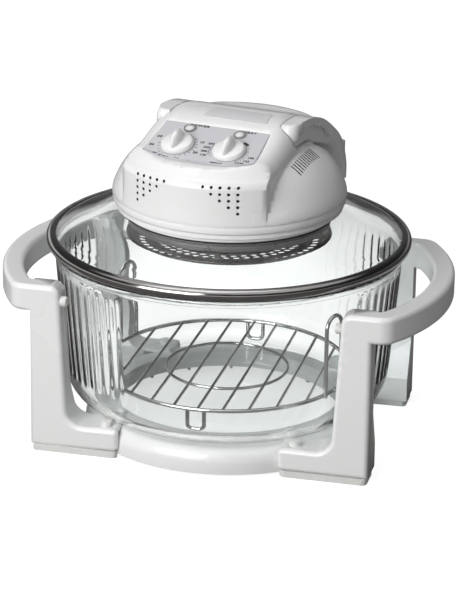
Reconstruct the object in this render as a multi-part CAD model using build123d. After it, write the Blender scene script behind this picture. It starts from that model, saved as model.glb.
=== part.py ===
from build123d import *
from build123d.topology import SkipClean
import os
from math import acos, cos, radians, sin, sqrt, tan

# Halogen oven: a glass bowl in a four-legged stand, a loose glass lid with a steel rim, and a
# heater head on the lid.  Millimetres, +Z up, origin on the table under the middle of the bowl,
# the control panel towards -Y.

# ---------------------------------------------------------------- driving dimensions
# Clearances
RUN_GAP = 0.05            # radial gap of a shaft in its bore
SEAT_GAP = 0.3            # gap between loose pieces that rest on each other
SLIP_GAP = 0.6            # gap beside a piece that swings past another

# Stand
LEG_OUTER_X = 154.4       # outer face of a leg from the middle
LEG_FRONT_Y = 112.3       # front face of a front leg from the middle
LEG_TOP_WIDTH = 27.0
LEG_LOW_WIDTH = 34.0
LEG_DEPTH = 20.0
LEG_ROUNDING = 4.5
FOOT_INNER_X = 73.3       # inner end of a foot from the middle
FOOT_TOP = 27.0
FOOT_DEPTH = 34.0
FOOT_CORNER = 15.0
FLARE_TOP = 62.0          # height at which a leg starts to deepen towards its foot
PAD_HEIGHT = 6.0
PAD_INSET = 1.2
FRAME_HEIGHT = 158.0
GRIP_HEIGHT = 25.0
GRIP_OUTER_X = 205.0
GRIP_ARC = 191.0          # radius of the outside of the grip, seen from above
GRIP_CORNER = 16.0

# Base ring under the bowl
RING_RADIUS = 130.0
RING_BOTTOM = 3.0
RING_TOP = 24.3
RING_INNER_RADIUS = 104.0
RING_WALL = 2.8
RING_SHOULDER = 6.0
RING_RIBS = 16
RING_SCREW_X = 78.0
RING_SCREW_Y = 82.5
POST_X = 86.5             # posts on the feet that carry the bowl
POST_Y = 99.5
POST_RADIUS = 5.2
SOCKET_DEPTH = 1.5        # posts sit this far in the foot
BUMPER_RADIUS = 4.8
BUMPER_Y = 105.0
BUMPER_Z = 143.0
BUMPER_REACH = 6.4
BUMPER_PEG_RADIUS = 2.5
BUMPER_DIMPLE_RADIUS = 1.3

# Bowl
BOWL_BOTTOM = 30.0
BOWL_FLAT_RADIUS = 116.0
BOWL_CORNER = 32.0
BOWL_BEAD_INSET = 5.8     # outside of the bowl's bead from the outside of the steel rim
BOWL_BEAD_REACH = 1.9     # how far the bead stands out from the wall
BOWL_TOP = 176.5
BOWL_BEAD_HEIGHT = 7.0
BOWL_WALL = 4.6
BOWL_FLOOR = 6.0

# Wire rack
RACK_RADIUS = 112.0
RACK_Z = 57.0
RACK_RIM_WIRE = 3.6
RACK_BAR_WIRE = 2.6
RACK_BARS = 9
RACK_INNER_RADIUS = 56.0
RACK_INNER_DROP = 1.5     # the inner ring is welded under the bars
RACK_BAR_PITCH = 22.0
RACK_FOOT_WIDTH = 15.0
RACK_LOOP_WIDTH = 24.0
RACK_LOOP_TOP = 131.0

# Lid
RIM_RADIUS = 165.0
RIM_BAND = 10.0           # width of the steel band seen from above
RIM_HEIGHT = 10.4
RIM_ROLL = 4.5            # from the edge of the glass to the outside of the band
LID_GLASS = 4.0
LID_HOLE_RADIUS = 84.0
LID_SEAT_RADIUS = 97.0    # the glass is flat inside this radius
LID_SEAT_TOP = 207.0
LID_EDGE_RISE = 3.6       # lower face of the glass above the bottom of the steel rim

# Head, in its own directions: +Y is the back of the head
HEAD_TURN = 9.57          # degrees, clockwise from above, that the loose lid is turned
GASKET = 1.0
COLLAR_RADIUS = 95.5
COLLAR_TOP = 215.0
COLLAR_WALL = 2.6
SPIGOT_WALL = 4.0
SPIGOT_GAP = 0.4
HEAD_FLOOR = 3.0
HEAD_FLOOR_TOP = 216.0
HOUSING_BOTTOM = 217.5
HOUSING_RADIUS = 106.0
HOUSING_WALL = 2.8
BEAD_HEIGHT = 7.5
BEAD_STEP = 1.5
BEAD_SWELL = 0.6
DOME_HEIGHT = 70.0
DOME_FULLNESS = 2.15      # exponent of the flank curve: 2 is an ellipse
SADDLE_HALF_WIDTH = 68.5
SADDLE_FRONT_RADIUS = 105.4
SADDLE_BACK_RADIUS = 95.0
SADDLE_TOP = 300.0
SADDLE_CREST_Y = 8.0
SADDLE_EDGE_ROUNDING = 8.0
PANEL_SLOPE = 18.1        # degrees
PANEL_EDGE_Z = 270.6      # height of the panel's plane at PANEL_EDGE_Y
PANEL_EDGE_Y = -90.0
BACK_SLOPE = 15.0
CORNER_FRONT = 10.0       # rounding along the top side edges, at the front and at the crest
CORNER_CREST = 26.0

# Control panel and controls
PANEL_BACK_Y = -27.6
PANEL_FRONT_Y = -71.6
PANEL_FRONT_SAG = 9.0
PANEL_BACK_HALF = 49.6
PANEL_FRONT_HALF = 52.8
PANEL_THICKNESS = 1.2
PANEL_PROUD = 0.3
KNOB_X = 24.6
KNOB_Y = -60.5
KNOB_RADIUS = 15.8
KNOB_SKIRT = 4.6
KNOB_GRIP_HEIGHT = 9.6
KNOB_GRIP_WIDTH = 9.0
KNOB_LIFT = 0.8
SPINDLE_RADIUS = 3.0
LAMP_X = 23.9
LAMP_Y = -35.0
LAMP_LENS_RADIUS = 4.3
LAMP_BEZEL_RADIUS = 5.8
NEON_RADIUS = 2.4
NEON_LENGTH = 12.0

CONTROL_DROP = 5.0        # gap from the panel face down to the timer and the thermostat
CONTROL_HEIGHT = 24.0
CONTROL_DEPTH = 20.0      # reach of a spindle below the panel face
TIMER_SIZE = (36.0, 28.0)
THERMOSTAT_SIZE = (30.0, 26.0)

# Openings of the housing
VENT_HOLE_RADIUS = 1.3
VENT_ROWS = 5
VENT_FIRST_X = 18.3
VENT_PITCH_X = 7.34
VENT_PITCH_Z = 5.8
VENT_TOP_Z = 260.6
LOUVRES = 12
LOUVRE_FIRST_Y = -31.3
LOUVRE_PITCH = 3.9
LOUVRE_WIDTH = 1.4
LOUVRE_MIDDLE_X = 76.2
LOUVRE_MIDDLE_Z = 262.0
LOUVRE_RUN = 10.0
LOUVRE_HEIGHT = 30.0

# Carrying handle
HANDLE_PIVOT_Y = -3.0
HANDLE_PIVOT_Z = 287.0
HANDLE_HUB = 13.0
HANDLE_ARM_TOP = 296.5
HANDLE_INNER_X = 54.0
HANDLE_BACK_RADIUS = 133.0
HANDLE_BACK_THICKNESS = 11.0
HANDLE_BACK_BOTTOM = 214.0
HANDLE_BACK_TOP = 250.0
HANDLE_ROUNDING = 2.5
HANDLE_SHOULDER = 9.0     # rounding along the outer top edge of an arm
HANDLE_POCKET = 3.0       # depth of the hollow in the outer side of an arm
HANDLE_POCKET_END_Y = 72.0
PIVOT_RADIUS = 4.0
PIVOT_INNER_X = 44.0
CAM_RADIUS = 5.5
CAM_OFFSET = 2.0
CAM_WIDTH = 5.0
SWITCH_HEIGHT = 12.0
SWITCH_WIDTH = 7.0
SWITCH_LENGTH = 20.0
SWITCH_PLUNGER = 4.0      # length of plunger above the switch
SWITCH_PLUNGER_RADIUS = 1.8

# Heater under the head
PLATE_SHEET = 1.0
PLATE_RADIUS = 92.0
PLATE_Z = 197.5
GUARD_RADIUS = 91.5
GUARD_TOP = 187.0
GUARD_FLOOR_RADIUS = 85.0
GUARD_FLOOR_Z = 181.5
GUARD_LIP = 3.0
GUARD_SHEET = 1.0
GUARD_HOLE = 2.75         # radius of a hole, and the rows as (radius of the row, holes in it)
GUARD_ROWS = ((34.5, 23), (43.0, 29), (51.4, 35), (60.0, 41), (76.8, 51))
PILLAR_RADIUS = 3.0
PILLAR_CIRCLE = 68.5
LAMP_RING_RADIUS = 57.0
LAMP_TUBE_RADIUS = 4.5
LAMP_TUBE_Z = 190.0
LAMP_GAP_ANGLE = 26.0
CAP_RADIUS = 6.5
CAP_HEIGHT = 12.0
CLIP_WIDTH = 3.0
CLIP_SHEET = 1.0
INSULATION_THICKNESS = 6.0

# Motor and fans
SHAFT_RADIUS = 3.0
SHAFT_BOTTOM = 184.5
SHAFT_TOP = 264.0
FAN_RADIUS = 46.0
FAN_Z = 186.0
FAN_BLADES = 8
FAN_BLADE_HEIGHT = 9.0
FAN_SHEET = 1.0
HUB_RADIUS = 8.0
COOL_FAN_RADIUS = 30.0
COOL_FAN_Z = 253.0
COOL_FAN_BLADES = 6
MOTOR_WIDTH = 58.0
MOTOR_DEPTH = 46.0
MOTOR_HEIGHT = 20.0
MOTOR_Z = 224.0
BRACKET_Y = 20.6
BRACKET_WIDTH = 13.0
BRACKET_SHEET = 1.5

# Cord inlet and screws
GLAND_ANGLE = 150.0       # degrees from +X, in the head's own directions
GLAND_Z = 236.0
GLAND_RADIUS = 6.0
GLAND_BORE = 3.6
TERMINAL_Y = 66.0
HOUSING_SCREW_CIRCLE = 87.0
HOUSING_SCREW_HEAD = 3.0  # radius of the head
HOUSING_SCREW_RADIUS = 1.65
HOUSING_SCREW_BORE = 1.7
HOUSING_SCREW_HOLE = 1.8  # clearance hole in the collar
HOUSING_SCREW_LENGTH = 15.0
BOSS_RADIUS = 4.5
FRAME_SCREW_HEAD = 3.4
FRAME_SCREW_HEAD_HEIGHT = 2.4
FRAME_SCREW_RADIUS = 1.55
FRAME_SCREW_BORE = 1.6
FRAME_SCREW_HOLE = 2.1
FRAME_SCREW_LENGTH = 7.0
FRAME_BOSS_RADIUS = 3.6
CLAMP_SCREW_HEAD = 2.4
CLAMP_SCREW_HEAD_HEIGHT = 1.8
CLAMP_SCREW_RADIUS = 1.18
CLAMP_SCREW_BORE = 1.2
CLAMP_SCREW_HOLE = 1.4
CLAMP_SCREW_LENGTH = 8.0
GUARD_SCREW_HEAD = 3.0
GUARD_SCREW_HEAD_HEIGHT = 1.8
GUARD_SCREW_RADIUS = 1.4
GUARD_SCREW_HOLE = 1.5
TERMINAL_SIZE = (40, 14, 12)
TERMINALS = 4
TERMINAL_PITCH = 10.0
COLLAR_SLOT = (16, 4)     # air slot in the head's floor: along the radius, across
COLLAR_SLOT_CIRCLE = 48.0

# ---------------------------------------------------------------- derived sizes
RIM_INNER_RADIUS = RIM_RADIUS - RIM_BAND
LID_EDGE_RADIUS = RIM_RADIUS - RIM_ROLL
BOWL_BEAD_RADIUS = RIM_RADIUS - BOWL_BEAD_INSET
BOWL_RIM_RADIUS = BOWL_BEAD_RADIUS - BOWL_BEAD_REACH
GRIP_WIDTH = LEG_DEPTH
GRIP_CENTRE_X = GRIP_OUTER_X - GRIP_ARC
LEG_BACK_Y = LEG_FRONT_Y - LEG_DEPTH
FOOT_BACK_Y = LEG_FRONT_Y - FOOT_DEPTH
RIM_BOTTOM = BOWL_TOP + SEAT_GAP
RIM_TOP = RIM_BOTTOM + RIM_HEIGHT
LID_SEAT_BOTTOM = LID_SEAT_TOP - LID_GLASS
COLLAR_BOTTOM = LID_SEAT_TOP + GASKET
HEAD_FLOOR_Z = HEAD_FLOOR_TOP - HEAD_FLOOR
SPIGOT_RADIUS = LID_HOLE_RADIUS - SPIGOT_GAP
SPIGOT_BOTTOM = PLATE_Z + PLATE_SHEET
RACK_FOOT_Z = BOWL_BOTTOM + BOWL_FLOOR + SEAT_GAP
SPINDLE_TOP = PANEL_PROUD + KNOB_LIFT + KNOB_SKIRT - 1.0
NOTCH_X = HANDLE_INNER_X - SLIP_GAP
SWITCH_TOP = HANDLE_PIVOT_Z - CAM_RADIUS + CAM_OFFSET - SEAT_GAP - SWITCH_PLUNGER
SWITCH_X = CAM_WIDTH / 2 - PIVOT_INNER_X
HANDLE_OUTER_X = SADDLE_HALF_WIDTH
PANEL_TAN = tan(radians(PANEL_SLOPE))
BACK_TAN = tan(radians(BACK_SLOPE))

head_place = Location((0, 0, 0), (0, 0, -HEAD_TURN))


def panel_z(y):
    """Height of the sloping panel face at y, in the head's own directions."""
    return PANEL_EDGE_Z + PANEL_TAN * (y - PANEL_EDGE_Y)


def panel_place(x, y, lift=0.0):
    """A place on the panel face, with local +Z square to the panel."""
    return Location((x, y, panel_z(y)), (PANEL_SLOPE, 0, 0)) * Location((0, 0, lift))


# ---------------------------------------------------------------- helpers
def lathe(*points):
    """Turn a straight-sided outline of (radius, height) points about Z."""
    return revolve(make_face(Plane.XZ * Polyline(*points, close=True)), Axis.Z)


def turned(*edges):
    """Turn an outline of XZ edges about Z."""
    return revolve(make_face([Plane.XZ * edge for edge in edges]), Axis.Z)


def ring(outer, inner, bottom, top):
    return lathe((inner, bottom), (outer, bottom), (outer, top), (inner, top))


def rod(start, end, radius):
    """A round bar between two points."""
    axis = Vector(*end) - Vector(*start)
    base = Plane(origin=start, z_dir=axis)
    return extrude(base * Circle(radius), axis.length)


def around(count, first=0.0):
    """Locations turned about Z in equal steps."""
    return [Location((0, 0, 0), (0, 0, first + 360.0 * i / count)) for i in range(count)]


def both_sides(shape):
    return [shape, mirror(shape, Plane.YZ)]


def four_corners(shape):
    pair = both_sides(shape)
    return pair + [mirror(s, Plane.XZ) for s in pair]


def save(node, *shapes):
    """Write one node: a single solid, or a group of separate solids."""
    solids = [s for shape in shapes for s in shape.solids()]
    body = solids[0] if len(solids) == 1 else Compound(children=solids)
    export_step(body, f"parts/{node}.step")
    return body


def save_in_head(node, *shapes):
    return save(node, *[head_place * shape for shape in shapes])


# ---------------------------------------------------------------- stand
def leg_outline():
    """Front view of the right legs: an upright that widens downwards, and a foot turned inwards."""
    inner_top = LEG_OUTER_X - LEG_TOP_WIDTH
    inner_low = LEG_OUTER_X - LEG_LOW_WIDTH
    corners = [(FOOT_INNER_X, PAD_HEIGHT), (LEG_OUTER_X, PAD_HEIGHT), (LEG_OUTER_X, FRAME_HEIGHT),
               (inner_top, FRAME_HEIGHT), (inner_low, FOOT_TOP), (FOOT_INNER_X, FOOT_TOP)]
    face = make_face(Polyline(*corners, close=True))
    found = {p: face.vertices().sort_by_distance((p[0], p[1], 0))[0] for p in corners}
    face = fillet([found[corners[4]]], FOOT_CORNER)
    inner = face.vertices().sort_by_distance((inner_top, FRAME_HEIGHT, 0))[0]
    face = fillet([inner], 2 * LEG_ROUNDING)
    toe = face.vertices().sort_by_distance((FOOT_INNER_X, FOOT_TOP, 0))[0]
    face = fillet([toe], LEG_ROUNDING)
    low = face.vertices().sort_by_distance((FOOT_INNER_X, PAD_HEIGHT, 0))[0]
    return fillet([low], LEG_ROUNDING)


def leg_side():
    """Side view of a front leg: the back flares out to the deeper foot."""
    return make_face(Polyline((-LEG_FRONT_Y, 0), (-FOOT_BACK_Y, 0), (-FOOT_BACK_Y, FOOT_TOP + 1.5),
                              (-LEG_BACK_Y, FLARE_TOP), (-LEG_BACK_Y, FRAME_HEIGHT),
                              (-LEG_FRONT_Y, FRAME_HEIGHT), close=True))


def leg():
    front = extrude(Plane.XZ.offset(LEG_FRONT_Y) * leg_outline(), -FOOT_DEPTH)
    side = extrude(Plane.YZ * leg_side(), LEG_OUTER_X)
    body = front & side
    long_edges = body.edges().filter_by(lambda e: e.length > 12)
    rims = [e for e in long_edges if abs(e.center().Y + LEG_FRONT_Y) < 0.1]
    return fillet(rims, LEG_ROUNDING)


def grip():
    """The bowed hand grip between the tops of a front and a back leg."""
    start_x = LEG_OUTER_X - LEG_TOP_WIDTH / 2
    def arc_x(radius, y):
        return GRIP_CENTRE_X + sqrt(radius ** 2 - y ** 2)
    inner_arc = GRIP_ARC - GRIP_WIDTH
    out_x = arc_x(GRIP_ARC, LEG_FRONT_Y)
    in_x = arc_x(inner_arc, LEG_BACK_Y)
    outline = [Line((start_x, -LEG_FRONT_Y), (out_x, -LEG_FRONT_Y)),
               ThreePointArc((out_x, -LEG_FRONT_Y), (GRIP_OUTER_X, 0), (out_x, LEG_FRONT_Y)),
               Line((out_x, LEG_FRONT_Y), (start_x, LEG_FRONT_Y)),
               Line((start_x, LEG_FRONT_Y), (start_x, LEG_BACK_Y)),
               Line((start_x, LEG_BACK_Y), (in_x, LEG_BACK_Y)),
               ThreePointArc((in_x, LEG_BACK_Y), (GRIP_OUTER_X - GRIP_WIDTH, 0), (in_x, -LEG_BACK_Y)),
               Line((in_x, -LEG_BACK_Y), (start_x, -LEG_BACK_Y)),
               Line((start_x, -LEG_BACK_Y), (start_x, -LEG_FRONT_Y))]
    face = make_face(outline)
    for y in (-LEG_FRONT_Y, LEG_FRONT_Y):
        face = fillet([face.vertices().sort_by_distance((out_x, y, 0))[0]], GRIP_CORNER)
    for y in (-LEG_BACK_Y, LEG_BACK_Y):
        face = fillet([face.vertices().sort_by_distance((in_x, y, 0))[0]], GRIP_CORNER / 2)
    bar = extrude(Plane.XY.offset(FRAME_HEIGHT - GRIP_HEIGHT) * face, GRIP_HEIGHT)
    flat_ends = [e for e in bar.edges().filter_by(Plane.XY) if abs(e.center().X - start_x) > 0.1]
    return fillet(flat_ends, LEG_ROUNDING)


def ring_envelope(gap):
    """Space that the base ring takes, with a gap round it."""
    return extrude(Circle(RING_RADIUS + gap), RING_TOP + gap)


def handle_frame():
    """Right side frame: two legs and the grip in one moulding, hooked over the base ring."""
    front_leg = leg()
    body = front_leg + mirror(front_leg, Plane.XZ) + grip()
    body -= ring_envelope(RUN_GAP)
    for side in (-1, 1):
        boss_top = BOWL_BOTTOM - 2 * SEAT_GAP
        boss_place = Location((RING_SCREW_X, side * RING_SCREW_Y, FOOT_TOP - 1))
        boss = extrude(boss_place * Circle(FRAME_BOSS_RADIUS), boss_top - FOOT_TOP + 1)
        body += boss
        screw_place = Location((RING_SCREW_X, side * RING_SCREW_Y, 0))
        body -= extrude(screw_place * Circle(FRAME_SCREW_BORE), FOOT_TOP + 2)
        peg_hole = rod((LEG_OUTER_X - LEG_TOP_WIDTH - 2, side * BUMPER_Y, BUMPER_Z),
                       (LEG_OUTER_X - LEG_TOP_WIDTH + 9, side * BUMPER_Y, BUMPER_Z),
                       BUMPER_PEG_RADIUS)
        body -= peg_hole
        body -= extrude(Location((POST_X, side * POST_Y, FOOT_TOP - SOCKET_DEPTH)) * Circle(POST_RADIUS), 5)
    return body


def bowl_outer_z(radius):
    """Height of the bowl's outer corner at a radius."""
    return BOWL_BOTTOM + BOWL_CORNER - sqrt(BOWL_CORNER ** 2 - (radius - BOWL_FLAT_RADIUS) ** 2)


def bowl_post():
    """Post on a foot whose sloped top carries the bowl's rounded corner."""
    reach = sqrt(POST_X ** 2 + POST_Y ** 2)
    top = bowl_outer_z(reach - POST_RADIUS) - SEAT_GAP
    return extrude(Location((POST_X, -POST_Y, FOOT_TOP - SOCKET_DEPTH)) * Circle(POST_RADIUS),
                   top - FOOT_TOP + SOCKET_DEPTH)


def base_ring():
    outer = turned(
        Line((RING_INNER_RADIUS, RING_TOP), (RING_RADIUS - 2 * RING_SHOULDER, RING_TOP)),
        Spline((RING_RADIUS - 2 * RING_SHOULDER, RING_TOP), (RING_RADIUS - 2.2, RING_TOP - RING_SHOULDER),
               (RING_RADIUS, RING_BOTTOM), tangents=[(1, 0), (0.05, -1)]),
        Line((RING_RADIUS, RING_BOTTOM), (RING_RADIUS - RING_WALL, RING_BOTTOM)),
        Spline((RING_RADIUS - RING_WALL, RING_BOTTOM),
               (RING_RADIUS - 2.2 - RING_WALL, RING_TOP - RING_SHOULDER - 1),
               (RING_RADIUS - 2 * RING_SHOULDER - 1, RING_TOP - RING_WALL), tangents=[(-0.05, 1), (-1, 0)]),
        Line((RING_RADIUS - 2 * RING_SHOULDER - 1, RING_TOP - RING_WALL),
             (RING_INNER_RADIUS + RING_WALL, RING_TOP - RING_WALL)),
        Line((RING_INNER_RADIUS + RING_WALL, RING_TOP - RING_WALL),
             (RING_INNER_RADIUS + RING_WALL, RING_BOTTOM + 6)),
        Line((RING_INNER_RADIUS + RING_WALL, RING_BOTTOM + 6), (RING_INNER_RADIUS, RING_BOTTOM + 6)),
        Line((RING_INNER_RADIUS, RING_BOTTOM + 6), (RING_INNER_RADIUS, RING_TOP)))
    rib_length = RING_RADIUS - RING_INNER_RADIUS - RING_WALL - 2
    for turn in around(RING_RIBS, 180.0 / RING_RIBS):
        rib = turn * Location((RING_INNER_RADIUS + 1 + rib_length / 2, 0, 14)) * Box(rib_length, 2, 15)
        outer += rib
    for x in (-RING_SCREW_X, RING_SCREW_X):
        for y in (-RING_SCREW_Y, RING_SCREW_Y):
            outer -= extrude(Location((x, y, RING_TOP - 8)) * Circle(FRAME_SCREW_HOLE), 10)
    return outer


def frame_screw():
    seat = Location((RING_SCREW_X, -RING_SCREW_Y, RING_TOP - RING_WALL))
    head = extrude(seat * Circle(FRAME_SCREW_HEAD), -FRAME_SCREW_HEAD_HEIGHT)
    shank = extrude(seat * Location((0, 0, -0.5)) * Circle(FRAME_SCREW_RADIUS), FRAME_SCREW_LENGTH)
    slot = seat * Location((0, 0, -FRAME_SCREW_HEAD_HEIGHT)) * Box(5, 0.9, 1.6)
    return head + shank - slot


def foot_pad():
    """Soft sole under a foot, set in a little from the foot's outline."""
    width = LEG_OUTER_X - FOOT_INNER_X - 2 * PAD_INSET
    depth = FOOT_DEPTH - 2 * PAD_INSET
    centre_x = (LEG_OUTER_X + FOOT_INNER_X) / 2
    centre_y = -(LEG_FRONT_Y + FOOT_BACK_Y) / 2
    pad = extrude(Location((centre_x, centre_y, 0)) * RectangleRounded(width, depth, 5), PAD_HEIGHT)
    return (pad - ring_envelope(3 * SEAT_GAP)).solids().sort_by(SortBy.VOLUME)[-1]


def bumper():
    """Soft button on the inner face of a leg that centres the bowl."""
    face_x = LEG_OUTER_X - LEG_TOP_WIDTH
    head = rod((face_x - BUMPER_REACH, -BUMPER_Y, BUMPER_Z), (face_x, -BUMPER_Y, BUMPER_Z), BUMPER_RADIUS)
    head = fillet(head.edges().filter_by(GeomType.CIRCLE).sort_by(Axis.X)[0], 2.0)
    stub = rod((face_x - 1, -BUMPER_Y, BUMPER_Z), (face_x + 8, -BUMPER_Y, BUMPER_Z), BUMPER_PEG_RADIUS)
    dimple = rod((face_x - BUMPER_REACH - 1, -BUMPER_Y, BUMPER_Z),
                 (face_x - BUMPER_REACH + 2, -BUMPER_Y, BUMPER_Z), BUMPER_DIMPLE_RADIUS)
    return head + stub - dimple


# ---------------------------------------------------------------- bowl
def bowl():
    """Pressed glass bowl: flat floor, large corner, slightly tapered wall and a beaded rim."""
    def wall_run(inset, corner_radius, floor_z):
        centre = (BOWL_FLAT_RADIUS, BOWL_BOTTOM + BOWL_CORNER)
        rim = (BOWL_RIM_RADIUS - inset, BOWL_TOP - BOWL_BEAD_HEIGHT)
        dx, dz = rim[0] - centre[0], rim[1] - centre[1]
        reach = sqrt(dx * dx + dz * dz)
        lean = acos(dx / reach) - acos(corner_radius / reach)
        touch = (centre[0] + corner_radius * cos(lean), centre[1] + corner_radius * sin(lean))
        half = (radians(-90) + lean) / 2
        mid = (centre[0] + corner_radius * cos(half), centre[1] + corner_radius * sin(half))
        return (BOWL_FLAT_RADIUS, floor_z), mid, touch, rim
    low, mid, touch, rim = wall_run(0, BOWL_CORNER, BOWL_BOTTOM)
    low_in, mid_in, touch_in, rim_in = wall_run(BOWL_WALL, BOWL_CORNER - BOWL_FLOOR, BOWL_BOTTOM + BOWL_FLOOR)
    bead_low = (BOWL_BEAD_RADIUS, rim[1] + 1.5)
    bead_top = (BOWL_BEAD_RADIUS - 1.5, BOWL_TOP)
    return turned(Line((0, BOWL_BOTTOM), low), ThreePointArc(low, mid, touch), Line(touch, rim),
                  Line(rim, bead_low), Line(bead_low, (BOWL_BEAD_RADIUS, BOWL_TOP - 1.5)),
                  Line((BOWL_BEAD_RADIUS, BOWL_TOP - 1.5), bead_top),
                  Line(bead_top, (rim_in[0], BOWL_TOP)), Line((rim_in[0], BOWL_TOP), rim_in),
                  Line(rim_in, touch_in), ThreePointArc(touch_in, mid_in, low_in),
                  Line(low_in, (0, BOWL_BOTTOM + BOWL_FLOOR)),
                  Line((0, BOWL_BOTTOM + BOWL_FLOOR), (0, BOWL_BOTTOM)))


# ---------------------------------------------------------------- wire rack
def wire(path, diameter):
    """Round wire swept along a path."""
    start = path @ 0
    return sweep(Plane(origin=start, z_dir=path % 0) * Circle(diameter / 2), path)


def wire_ring(radius, z, diameter):
    """Closed wire ring about Z, in two halves that keep their seam when bars are joined to it."""
    half = revolve(Plane.XZ * Location((radius, z)) * Circle(diameter / 2), Axis.Z, 180)
    return half + Location((0, 0, 0), (0, 0, 180)) * half


def u_bend(width, bottom, top, corner):
    """Upright wire U in the XZ plane, open side at bottom or top by the order of the heights."""
    half = width / 2
    return FilletPolyline((-half, 0, bottom), (-half, 0, top), (half, 0, top), (half, 0, bottom),
                          radius=corner)


def rack_grid():
    bars = []
    for i in range(RACK_BARS):
        x = (i - (RACK_BARS - 1) / 2) * RACK_BAR_PITCH
        half = sqrt(RACK_RADIUS ** 2 - x ** 2)
        bars.append(rod((x, -half, RACK_Z), (x, half, RACK_Z), RACK_BAR_WIRE / 2))
    with SkipClean():
        rim = wire_ring(RACK_RADIUS, RACK_Z, RACK_RIM_WIRE) + bars
        return rim + wire_ring(RACK_INNER_RADIUS, RACK_Z - RACK_INNER_DROP, RACK_BAR_WIRE)


def rack_feet():
    foot = wire(u_bend(RACK_FOOT_WIDTH, RACK_Z, RACK_FOOT_Z + RACK_RIM_WIRE / 2, 5), RACK_RIM_WIRE)
    outward = Location((0, -RACK_RADIUS - RACK_RIM_WIRE, 0)) * foot
    return [turn * outward for turn in around(4)]


def rack_loops():
    loop = wire(u_bend(RACK_LOOP_WIDTH, RACK_Z, RACK_LOOP_TOP, RACK_LOOP_WIDTH / 2 - 0.5), RACK_RIM_WIRE)
    outward = Location((0, -RACK_RADIUS - RACK_RIM_WIRE, 0)) * loop
    return [Location((0, 0, 0), (0, 0, a)) * outward for a in (68, 248)]


# ---------------------------------------------------------------- lid
def lid_glass():
    """Shallow glass dome with a flat seat round the head's hole."""
    edge_low = RIM_BOTTOM + LID_EDGE_RISE
    middle_radius = (LID_EDGE_RADIUS + LID_SEAT_RADIUS) / 2
    middle_low = edge_low + 0.64 * (LID_SEAT_BOTTOM - edge_low)
    lower = Spline((LID_EDGE_RADIUS, edge_low), (middle_radius, middle_low),
                   (LID_SEAT_RADIUS, LID_SEAT_BOTTOM),
                   tangents=[(-1, 0.62), (-1, 0)])
    upper = Spline((LID_EDGE_RADIUS, edge_low + LID_GLASS), (middle_radius, middle_low + LID_GLASS),
                   (LID_SEAT_RADIUS, LID_SEAT_TOP), tangents=[(-1, 0.62), (-1, 0)])
    return turned(lower, Line((LID_SEAT_RADIUS, LID_SEAT_BOTTOM), (LID_HOLE_RADIUS, LID_SEAT_BOTTOM)),
                  Line((LID_HOLE_RADIUS, LID_SEAT_BOTTOM), (LID_HOLE_RADIUS, LID_SEAT_TOP)),
                  Line((LID_HOLE_RADIUS, LID_SEAT_TOP), (LID_SEAT_RADIUS, LID_SEAT_TOP)), upper,
                  Line((LID_EDGE_RADIUS, edge_low + LID_GLASS), (LID_EDGE_RADIUS, edge_low)))


def lid_rim(glass):
    """Rolled steel band that grips the edge of the glass."""
    middle = (RIM_TOP + RIM_BOTTOM) / 2
    band = turned(Line((RIM_INNER_RADIUS, RIM_BOTTOM), (RIM_RADIUS - 4, RIM_BOTTOM)),
                  ThreePointArc((RIM_RADIUS - 4, RIM_BOTTOM), (RIM_RADIUS, middle),
                                (RIM_RADIUS - 4, RIM_TOP)),
                  Line((RIM_RADIUS - 4, RIM_TOP), (RIM_INNER_RADIUS + 2, RIM_TOP)),
                  ThreePointArc((RIM_INNER_RADIUS + 2, RIM_TOP), (RIM_INNER_RADIUS + 0.6, RIM_TOP - 0.6),
                                (RIM_INNER_RADIUS, RIM_TOP - 2)),
                  Line((RIM_INNER_RADIUS, RIM_TOP - 2), (RIM_INNER_RADIUS, RIM_BOTTOM)))
    return band - glass


# ---------------------------------------------------------------- head mouldings
def saddle_height(y):
    """Height of the saddle's ridge line along the head."""
    front = panel_z(y)
    back = SADDLE_TOP - BACK_TAN * max(0.0, y - SADDLE_CREST_Y)
    return min(front, back, SADDLE_TOP)


def saddle_section(y, inset):
    """Cross-section of the saddle at y: upright sides, a flat top and rounded shoulders."""
    half = SADDLE_HALF_WIDTH - inset
    top = saddle_height(y) - inset
    blend = min(1.0, max(0.0, (y + SADDLE_FRONT_RADIUS) / (SADDLE_FRONT_RADIUS + SADDLE_CREST_Y)))
    corner = CORNER_FRONT + blend * (CORNER_CREST - CORNER_FRONT) - inset
    bottom = HOUSING_BOTTOM - 1 if inset else HOUSING_BOTTOM + BEAD_HEIGHT
    face = make_face(Polyline((-half, bottom), (half, bottom), (half, top), (-half, top), close=True))
    tops = [face.vertices().sort_by_distance((x, top, 0))[0] for x in (-half, half)]
    face = fillet(tops, corner)
    return Plane.XZ.offset(-y) * face


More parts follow.
